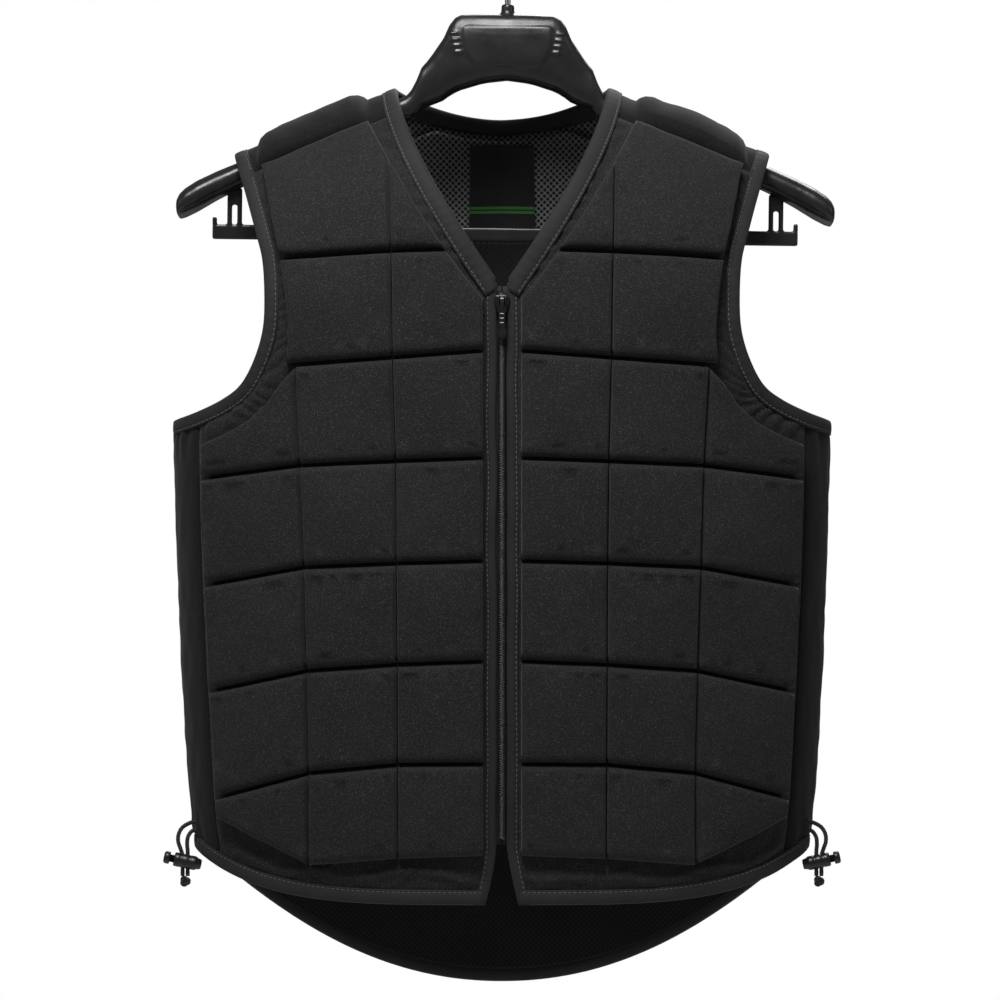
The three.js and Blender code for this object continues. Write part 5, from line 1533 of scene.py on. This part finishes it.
def make_facings():
    top = float(beside_neck_front(1.0, BINDING_WIDTH)[1]) + 0.001
    z = np.linspace(top, NECK_Z - FRONT_LENGTH, 220)
    for name, side in SIDES:
        pucker = FACING_PUCKER * np.sin((top - z) * 2 * math.pi / FACING_PUCKER_PITCH + side)
        wander = FACING_WANDER * waves(np.stack([z, z * 0 + side], -1), 0.07, 101 + side)
        rings = []
        for across, up in [*FACING_SECTION, FACING_STITCH]:
            height = FACING_TOP - FACING_THICK * (1 - up * (1 + pucker * across))
            x = side * (facing_edge(z) + wander + FACING_WIDTH * across)
            rings.append(np.stack([x, centre_front(z, height), z], -1))
        tape = Shell()
        tape.tube(np.array(rings[:-1]).transpose(1, 0, 2))
        piece(f"zip_facing_{name}", tape, [TAPE], "binding", replaces=[f"front_facing_{name}"])
        thread = Shell()
        add_stitches(thread, rings[-1], np.tile((0.0, -1.0, 0.0), (len(z), 1)))
        piece(f"zip_facing_{name}_stitching", thread, [THREAD], "binding")


ZIP_TAPE_THICK = 0.0009
ZIP_TAPE_GAP = 0.0003
ZIP_TAPE_RISE = 0.004


def make_zip_tapes():
    top = NECK_Z - ZIP_BELOW_NECK + ZIP_TAPE_RISE
    z = np.linspace(top, NECK_Z - ZIP_BELOW_NECK - ZIP_LENGTH, 90)
    height = FACING_TOP - FACING_THICK - ZIP_TAPE_GAP
    for name, side in SIDES:
        x = np.linspace(ZIP_TAPE_GAP, FACING_INNER + FACING_WIDTH - 0.001, 9)[:, None]
        front = np.stack(np.broadcast_arrays(side * x, centre_front(z, height), z), -1)
        shell = Shell()
        shell.sheet(front, front + np.array((0, ZIP_TAPE_THICK, 0)))
        piece(f"zip_band_{name}", shell, [TAPE], "binding", replaces=[f"zip_tape_{name}"], weld=FINE_WELD)


# One loop of the coil: shares of the half width, the half depth and the pitch
COIL_REACH = np.array((-0.35, -0.28, 0.0, 0.55, 0.98, 1.0, 0.55, 0.0))
COIL_DEPTH = np.array((0.2, 0.9, 1.0, 1.0, 0.7, -0.4, -1.0, -0.9))
COIL_RISE = np.array((0, 0, 0, 0, 0.1, 0.3, 0.45, 0.5))
COIL_WIRE = 0.00042


def make_coil():
    top = NECK_Z - ZIP_BELOW_NECK - 0.001
    z = np.arange(top, top - ZIP_LENGTH + 0.006, -COIL_PITCH)
    middle = FACING_TOP - FACING_THICK + COIL_THICK / 2
    y = centre_front(z, middle)
    depth = COIL_DEPTH * (COIL_THICK / 2 - 0.0004)
    shell = Shell()
    for side in (-1, 1):
        for level, front in zip(z, y):
            level = level - (COIL_PITCH / 2 if side > 0 else 0)
            reach = side * COIL_REACH * COIL_WIDTH / 2
            path = np.stack([reach, front - depth, level - COIL_RISE * COIL_PITCH], -1)
            shell.tube(tube_rings(path, COIL_WIRE, 6))
    piece("zip_coil_loops", shell, [COIL], "zip_nylon", replaces=["zip_coil"])


SLIDER_TOP = NECK_Z - ZIP_BELOW_NECK - 0.002
SLIDER_MIDDLE = SLIDER_TOP - SLIDER_LENGTH / 2
PLATE_BACK = float(centre_front(np.array([SLIDER_MIDDLE]), FACING_TOP)[0]) - 0.0006
PIVOT_Z = SLIDER_TOP - 0.0034
PIVOT_Y = PLATE_BACK - SLIDER_PLATE - EYE_RADIUS - 0.0003
# Half of the slider's outline: shares of its half width, and down from its top
SLIDER_HALF = [
    (0.0, 0.0), (0.55, 0.0), (0.9, -0.0008), (1, -0.0024), (0.97, -0.0052), (0.74, -0.0082),
    (0.66, 0.0010 - SLIDER_LENGTH), (0.5, -SLIDER_LENGTH),
]
EAR_WIDTH = 0.0011
EAR_GAP = 0.0003
PIN_HALF = 0.0024
PIN_RADIUS = 0.0007


def mirrored(half):
    return half + [(-x, z) for x, z in half[::-1] if x > 0]


def prism(shell, outline, front, back):
    """A flat plate with softened rims, from an outline of x and z."""
    outline = counter_clockwise(np.array(outline, float))
    soft = (back - front) * 0.22
    layers = [(front, soft), (front + soft, 0.0), (back - soft, 0.0), (back, soft)]
    rings = [np.insert(inset(outline, shrink), 1, y, axis=1) for y, shrink in layers]
    shell.tube(np.array(rings))


def make_slider():
    front = PLATE_BACK - SLIDER_PLATE
    shell = Shell()
    outline = mirrored([(SLIDER_WIDTH / 2 * share, SLIDER_TOP + z) for share, z in SLIDER_HALF])
    prism(shell, outline, front, PLATE_BACK)
    rounded_box(shell, (COIL_WIDTH - 0.0016, 0.0016, SLIDER_LENGTH - 0.003),
                (0, PLATE_BACK + 0.0004, SLIDER_MIDDLE), 0.0002)
    for side in (-1, 1):
        ear = side * (EYE_WIDTH / 2 + EAR_GAP + EAR_WIDTH / 2)
        rounded_box(shell, (EAR_WIDTH, front - PIVOT_Y + 0.0021, 2 * EYE_RADIUS),
                    (ear, (front + PIVOT_Y) / 2 - 0.0006, PIVOT_Z), 0.0003)
    pin = lathe([(-PIN_HALF, PIN_RADIUS), (PIN_HALF, PIN_RADIUS)], (0, PIVOT_Y, PIVOT_Z), (1, 0, 0), 16)
    shell.tube(pin)
    moulded("zip_slider_body", shell, GUNMETAL, "zip_metal", 0.00022, 2, replaces=["zip_slider"])


# Half of the pull's outline: out from its middle as a share of the width, and down from the pin
PULL_STALK = [
    (0.0000, 0.0021), (0.0010, 0.0019), (0.0015, 0.0012), (0.0015, -0.0028), (0.0017, -0.0044),
]
PULL_GRIP = [
    (0.5, -0.0060), (0.5, 0.0062 - PULL_LENGTH), (0.68, 0.0048 - PULL_LENGTH),
    (0.70, 0.0022 - PULL_LENGTH), (0.58, 0.0006 - PULL_LENGTH), (0.30, -PULL_LENGTH),
]
PULL_RIBS = (-0.0095, -0.0125, -0.0155)
EYE_HOLE = 0.0012
EYE_BEVEL = 0.0002


def make_pull():
    """The pull tab: an eye round the slider's pin, a waisted stalk and a grip with three ribs."""
    half = PULL_STALK + [(PULL_WIDTH * share, z) for share, z in PULL_GRIP]
    outline = [(x, PIVOT_Z + z) for x, z in mirrored(half)]
    shell = Shell()
    prism(shell, outline, PIVOT_Y - PULL_THICK / 2, PIVOT_Y + PULL_THICK / 2)
    eye = EYE_WIDTH / 2
    shell.tube(lathe([
        (-eye, EYE_HOLE), (-eye, EYE_RADIUS - EYE_BEVEL), (-eye + EYE_BEVEL, EYE_RADIUS),
        (eye - EYE_BEVEL, EYE_RADIUS), (eye, EYE_RADIUS - EYE_BEVEL), (eye, EYE_HOLE),
    ], (0, PIVOT_Y, PIVOT_Z), (1, 0, 0), 24))
    for z in PULL_RIBS:
        rounded_box(shell, (PULL_WIDTH * 0.62, PULL_THICK + 0.0005, 0.0009), (0, PIVOT_Y, PIVOT_Z + z),
                    0.0002)
    moulded("zip_pull_tab", shell, GUNMETAL, "zip_metal", 0.0002, 2, body="pull", replaces=["zip_pull"])


# Linings and the label inside
def sheet_size(points):
    """Flat width, length and area of a grid of points."""
    rows = np.linalg.norm(np.diff(points, axis=1), axis=2).sum(1)
    columns = np.linalg.norm(np.diff(points, axis=0), axis=2).sum(0)
    u, v = points[1:, :-1] - points[:-1, :-1], points[:-1, 1:] - points[:-1, :-1]
    far_u, far_v = points[:-1, 1:] - points[1:, 1:], points[1:, :-1] - points[1:, 1:]
    doubled = np.linalg.norm(np.cross(u, v), axis=2) + np.linalg.norm(np.cross(far_u, far_v), axis=2)
    return float(rows.max()), float(columns.max()), float(doubled.sum() / 2)


def make_inner_sheet(name, x, z, depth, thick, materials, slot, replaces, rests_on, seed, slots=None):
    flat = np.stack([x, z], -1)
    uneven = 0.0004 * waves(flat, 0.06, seed)
    outer = skin(x, z, 1, -depth + uneven)
    inner = skin(x, z, 1, -depth - thick + uneven)
    shell = Shell()
    shell.sheet(outer, inner)
    if slots is not None:
        rows, columns = x.shape
        for index in range(2 * (rows - 1) * (columns - 1)):
            row = index % ((rows - 1) * (columns - 1)) // (columns - 1)
            shell.slots[index] = slots(row, rows - 1)
    thing = piece(name, shell, materials, slot, replaces=replaces, weld=FINE_WELD)
    width, length, total = sheet_size(inner)
    full = max(width * length, total)


MESH_THICK = 0.001
NECK_MESH_REACH = 1.5
NECK_MESH_TUCK = 0.002
NECK_MESH_PAST_V = 0.030
TAIL_MESH_REACH = 0.8
TAIL_MESH_RISE = 0.040
TAIL_MESH_TUCK = 0.001
TAIL_MESH_CLOSER = 0.002
LABEL_BELOW_TAPE = 0.004
LABEL_THICK = 0.0008
LABEL_PROUD = 0.0022
LABEL_LINES = ((0.70, 0.735), (0.765, 0.80))


def label_slot(row, rows):
    return int(any(low < row / rows < high for low, high in LABEL_LINES))


def make_linings():
    depth = CLOTH_WALL + LINING_GAP
    u = np.linspace(-1, 1, 61)[None, :]
    t = np.linspace(0, 1, 60)[:, None]
    x = u * SEAM_BACK * NECK_MESH_REACH
    top = np.minimum(neck_back(np.minimum(np.abs(x), NECK_HALF)), seam_z(x))
    top = top - BINDING_WIDTH - NECK_MESH_TUCK
    z = top + (NECK_Z - V_NECK_DEPTH - NECK_MESH_PAST_V - top) * t
    make_inner_sheet("neck_mesh", *np.broadcast_arrays(x, z), depth, MESH_THICK, [MESH], "mesh_lining",
                     ["lining_neck"], ["neck_tape"], 111)
    x = u * HEM_HALF * TAIL_MESH_REACH
    _, low_z = beside_hem(x, 1, BINDING_WIDTH - TAIL_MESH_TUCK)
    top = NECK_Z - FRONT_LENGTH + TAIL_MESH_RISE
    z = top + (low_z - top) * t
    # The tail's lining takes the darker copy of the mesh, which is painted shade
    make_inner_sheet("tail_mesh", *np.broadcast_arrays(x, z), depth - TAIL_MESH_CLOSER, MESH_THICK,
                     [SHADED_TAIL_MESH], "mesh_lining", ["lining_tail"], ["tail_tape"], 113)
    top = float(neck_back(0)) - BINDING_WIDTH - LABEL_BELOW_TAPE
    x = np.linspace(-0.5, 0.5, 25)[None, :] * LABEL_WIDTH
    z = top - LABEL_HEIGHT * np.linspace(0, 1, 61)[:, None]
    make_inner_sheet("neck_label", *np.broadcast_arrays(x, z), depth + LABEL_PROUD, LABEL_THICK,
                     [LABEL, LABEL_LINE], "label", ["label"], ["neck_mesh"], 117, label_slot)


# Hanger
def leaning(points):
    stem_z = -HOOK_TO_CROWN + COLLAR_HEIGHT
    x, y, z = points[..., 0], points[..., 1], points[..., 2] - stem_z
    turn, lean = math.cos(HANGER_TILT), math.sin(HANGER_TILT)
    return np.stack([x * turn + z * lean + HANGER_SHIFT, y, -x * lean + z * turn + stem_z], -1)


def hanger_top(out):
    tape_under = (CLOTH_WALL + BINDING_THICK) / 2
    return ridge(out) - (tape_under + HANGER_SEAT) / math.cos(SHOULDER_SLOPE)


CROWN_ROUND = 0.62

# The flank between crown and arm, and how the arm starts: drop, height, widening and roundness
FLANK_RISE = 0.0015
FLANK_HEIGHT = 0.024
FLANK_DEPTH = 0.020
FLANK_ROUND = 0.66
ARM_START = (0, 1, -0.3, 0.72)


def hanger_sections():
    """Rows of out, top, bottom, depth and roundness, from the crown's middle to the arm's tip."""
    crown_top = -HOOK_TO_CROWN
    rows = [(out, crown_top - top, crown_top - bottom, depth, CROWN_ROUND)
            for out, top, bottom, depth in CROWN]
    flank_top = NECK_Z + FLANK_RISE
    rows.append((NECK_HALF - FLANK_FROM_NECK, flank_top, flank_top - FLANK_HEIGHT,
                 FLANK_DEPTH, FLANK_ROUND))
    start = (NECK_HALF - ARM_FROM_NECK) / HANGER_REACH
    for share, drop, height, widen, round_ in [(start, *ARM_START), *ARMS]:
        out = HANGER_REACH * share
        top = hanger_top(out) - drop
        depth = ARM_DEPTH + (TIP_DEPTH - ARM_DEPTH) * widen
        rows.append((out, top, top - ARM_HEIGHT * height, depth, round_))
    return np.array(rows)


def at_out(sections, out):
    """Top, bottom, depth and roundness of the hanger at a way out."""
    return [np.interp(out, sections[:, 0], sections[:, k]) for k in (1, 2, 3, 4)]


def front_of_crown(x, z, sections):
    """How far forward the crown's face stands at a place."""
    top, bottom, depth, round_ = at_out(sections, np.abs(x))
    level = np.clip(np.abs(z - (top + bottom) / 2) / ((top - bottom) / 2), 0, 0.98)
    return -depth / 2 * (1 - level ** (2 / round_)) ** (round_ / 2)


# Below the crown's top: the raised plate's corners, then shrink and height of its rings, the
# collar's width and height, and the notches beside the plate
PLATE = [
    (-0.031, -0.0135), (-0.0285, -0.0280), (-0.0215, -0.0365), (0.0215, -0.0365), (0.0285, -0.0280),
    (0.031, -0.0135), (0.030, -0.0085), (-0.030, -0.0085),
]
PLATE_RINGS = ((0.0, -0.002), (0.0003, 0.0005), (0.0012, 0.0009), (0.006, 0.0009), (0.012, 0.0009))
COLLAR = (
    (1.25, -0.004), (1.2, 0.0004), (1.0, 0.0012), (0.98, COLLAR_HEIGHT - 0.0012), (0.8, COLLAR_HEIGHT),
)
NOTCHES = 4
NOTCH_AT = (0.0365, -0.014)
NOTCH_STEP = (-0.0011, -0.0042)
NOTCH_SIZE = (0.0052, 0.0030, 0.0016)


def hanger_skin(sections):
    fine = HANGER_REACH * np.sin(np.linspace(0, math.pi / 2, 110)) ** 0.8
    out = np.concatenate([-fine[::-1][:-1], fine])
    top, bottom, depth, round_ = (value[:, None] for value in at_out(sections, np.abs(out)))
    angle = 2 * math.pi * np.arange(36)[None, :] / 36

    def power(v):
        return np.sign(v) * np.abs(v) ** round_

    y = depth / 2 * power(np.cos(angle))
    z = (top + bottom) / 2 + (top - bottom) / 2 * power(np.sin(angle))
    return np.stack([np.broadcast_to(out[:, None], z.shape), y, z], -1)


def collar_rings():
    turn = 2 * math.pi * np.arange(28) / 28
    rings = []
    for size, up in COLLAR:
        wide = size * COLLAR_SIZE / 2
        level = np.full(len(turn), up - HOOK_TO_CROWN)
        rings.append(np.stack([wide * np.cos(turn), wide * np.sin(turn), level], -1))
    return np.array(rings)


def plate_rings(face, sections):
    outline = counter_clockwise(rounded([(x, z - HOOK_TO_CROWN) for x, z in PLATE], 0.004))
    rings = []
    for shrink, proud in PLATE_RINGS:
        ring = inset(outline, shrink)
        forward = front_of_crown(ring[:, 0], ring[:, 1], sections) - proud
        rings.append(np.stack([ring[:, 0], -face * forward, ring[:, 1]], -1))
    return np.array(rings)


def add_notch(shell, face, side, step, sections):
    x = side * (NOTCH_AT[0] + NOTCH_STEP[0] * step)
    z = -HOOK_TO_CROWN + NOTCH_AT[1] + NOTCH_STEP[1] * step
    forward = float(front_of_crown(np.array(x), np.array(z), sections))
    box = Shell()
    rounded_box(box, NOTCH_SIZE, (x, -face * (forward + 0.0006), z), 0.0004)
    start = shell.add(leaning(np.concatenate(box.points)))
    shell.polygons([[start + v for v in f] for f in box.faces])


def make_hanger():
    sections = hanger_sections()
    shell = Shell()
    shell.tube(leaning(hanger_skin(sections)))
    shell.tube(leaning(collar_rings()))
    for face in (-1, 1):
        shell.tube(leaning(plate_rings(face, sections)))
        for side in (-1, 1):
            for step in range(NOTCHES):
                add_notch(shell, face, side, step, sections)
    moulded("hanger_moulding", shell, HANGER, "hanger_plastic", 0.0009, 3, replaces=["hanger_body"])


# The trouser bar's joint to the arms, and the hook at each end
WEB_HEIGHT = 0.011
WEB_DROP = 0.0045
BAR_HOOK_WIDTH = 0.003
BAR_HOOK_HEIGHT = 0.006
BAR_HOOK_RISE = 0.002
LEG_BEVEL = 0.0006


def make_bar():
    bar_top = NECK_Z - BAR_BELOW_NECK + BAR_HEIGHT / 2
    shell = Shell()
    rounded_box(shell, (2 * BAR_REACH, BAR_DEPTH, BAR_HEIGHT), (0, 0, bar_top - BAR_HEIGHT / 2), 0.0012)
    leg = (POST_WIDTH - POST_SLOT) / 2
    for side in (-1, 1):
        for place in (-1, 1):
            x = side * (POST_AT + place * (POST_WIDTH - leg) / 2)
            top = float(hanger_top(abs(x) + leg / 2)) - ARM_HEIGHT - 0.0003
            rounded_box(shell, (leg, BAR_DEPTH, top - bar_top + 0.001),
                        (x, 0, (top + bar_top - 0.001) / 2), LEG_BEVEL)
        web_top = float(hanger_top(POST_AT)) - ARM_HEIGHT * 1.05
        rounded_box(shell, (POST_WIDTH, BAR_DEPTH, WEB_HEIGHT), (side * POST_AT, 0, web_top - WEB_DROP),
                    LEG_BEVEL)
        rounded_box(shell, (BAR_HOOK_WIDTH, BAR_DEPTH, BAR_HOOK_HEIGHT),
                    (side * (BAR_REACH - BAR_HOOK_WIDTH / 2), 0, bar_top + BAR_HOOK_RISE), 0.0008)
    shell.points = [leaning(points) for points in shell.points]
    moulded("hanger_trouser_bar", shell, HANGER, "hanger_plastic", 0.0007, 2, replaces=["hanger_bar"])


# The wire hook: angles of its arc, points of its stem above the collar's top, and its thin end
HOOK_ARC = (215, -35)
HOOK_STEM = ((0.002, 0.0123), (0, 0.0063), (0, -0.0005))
HOOK_POINTS = 110
HOOK_TAPER = (0.35, 0.75, 0.95)


def make_hook():
    radius = (HOOK_BORE + HOOK_WIRE) / 2
    angles = np.radians(np.linspace(*HOOK_ARC, 10))
    arc = [(radius * math.cos(a), 0, -HOOK_BORE / 2 + radius * math.sin(a)) for a in angles]
    foot = -HOOK_TO_CROWN + COLLAR_HEIGHT
    stem = [(HANGER_SHIFT + out, 0, foot + up) for out, up in HOOK_STEM]
    path = spline(arc + stem, np.linspace(0, 1, HOOK_POINTS))
    wide = np.full(HOOK_POINTS, HOOK_WIRE / 2)
    wide[:len(HOOK_TAPER)] *= HOOK_TAPER
    shell = Shell()
    shell.tube(tube_rings(path, wide, 20))
    piece("hanger_wire_hook", shell, [CHROME], "hook_metal", replaces=["hanger_hook"])


# Floor, world and lights: each lamp's name, place, size and power
AMBIENT = 0.11
LAMPS = [
    ("key", (-0.2, -0.9, 0.85), 0.6, 22),
    ("fill_left", (-2.2, -1.2, 0.4), 1.2, 4),
    ("fill_right", (2.2, -1.2, 0.4), 1.2, 4),
    ("behind", (0.4, 1.5, 1.1), 1.0, 22),
]
LAMPS_AIM = Vector((0, 0, -0.38))
FLOOR_SIZE = 8.0
FLOOR_DROP = 0.6


def make_world():
    """White where the camera looks past the part, and a weak even light on the part itself."""
    world = bpy.data.worlds.new("studio")
    world.use_nodes = True
    tree = world.node_tree
    backdrop = tree.nodes["Background"]
    backdrop.inputs["Color"].default_value = (1, 1, 1, 1)
    soft = tree.nodes.new("ShaderNodeBackground")
    soft.inputs["Color"].default_value = (1, 1, 1, 1)
    soft.inputs["Strength"].default_value = AMBIENT
    seen = tree.nodes.new("ShaderNodeLightPath")
    mixed = tree.nodes.new("ShaderNodeMixShader")
    tree.links.new(seen.outputs["Is Camera Ray"], mixed.inputs[0])
    tree.links.new(soft.outputs[0], mixed.inputs[1])
    tree.links.new(backdrop.outputs[0], mixed.inputs[2])
    tree.links.new(mixed.outputs[0], tree.nodes["World Output"].inputs["Surface"])
    bpy.context.scene.world = world
    bpy.context.scene.view_settings.view_transform = "Standard"


def make_floor():
    low = cad_bounds[0][2]
    bpy.ops.mesh.primitive_plane_add(size=FLOOR_SIZE, location=(0, 0, low - FLOOR_DROP))
    floor = bpy.context.object
    floor.name = "floor"
    floor.data.materials.append(FLOOR)
    floor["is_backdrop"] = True


def make_lamps():
    for name, place, size, power in LAMPS:
        data = bpy.data.lights.new(name, "AREA")
        data.size = size
        data.energy = power
        lamp = linked(name, data)
        lamp.location = place
        lamp.rotation_euler = (LAMPS_AIM - Vector(place)).to_track_quat("-Z", "Y").to_euler()


def save_sizes():
    corners = {"cad": cad_bounds, "visual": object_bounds()}
    {key: [list(corner) for corner in pair] for key, pair in corners.items()}


make_camera()
make_cords()
make_panels()
make_shoulders()
make_sides()
make_neck_binding()
make_armhole_bindings()
make_hem_bindings()
make_facings()
make_zip_tapes()
make_coil()
make_slider()
make_pull()
make_linings()
make_hanger()
make_bar()
make_hook()
make_world()
make_floor()
make_lamps()
save_sizes()
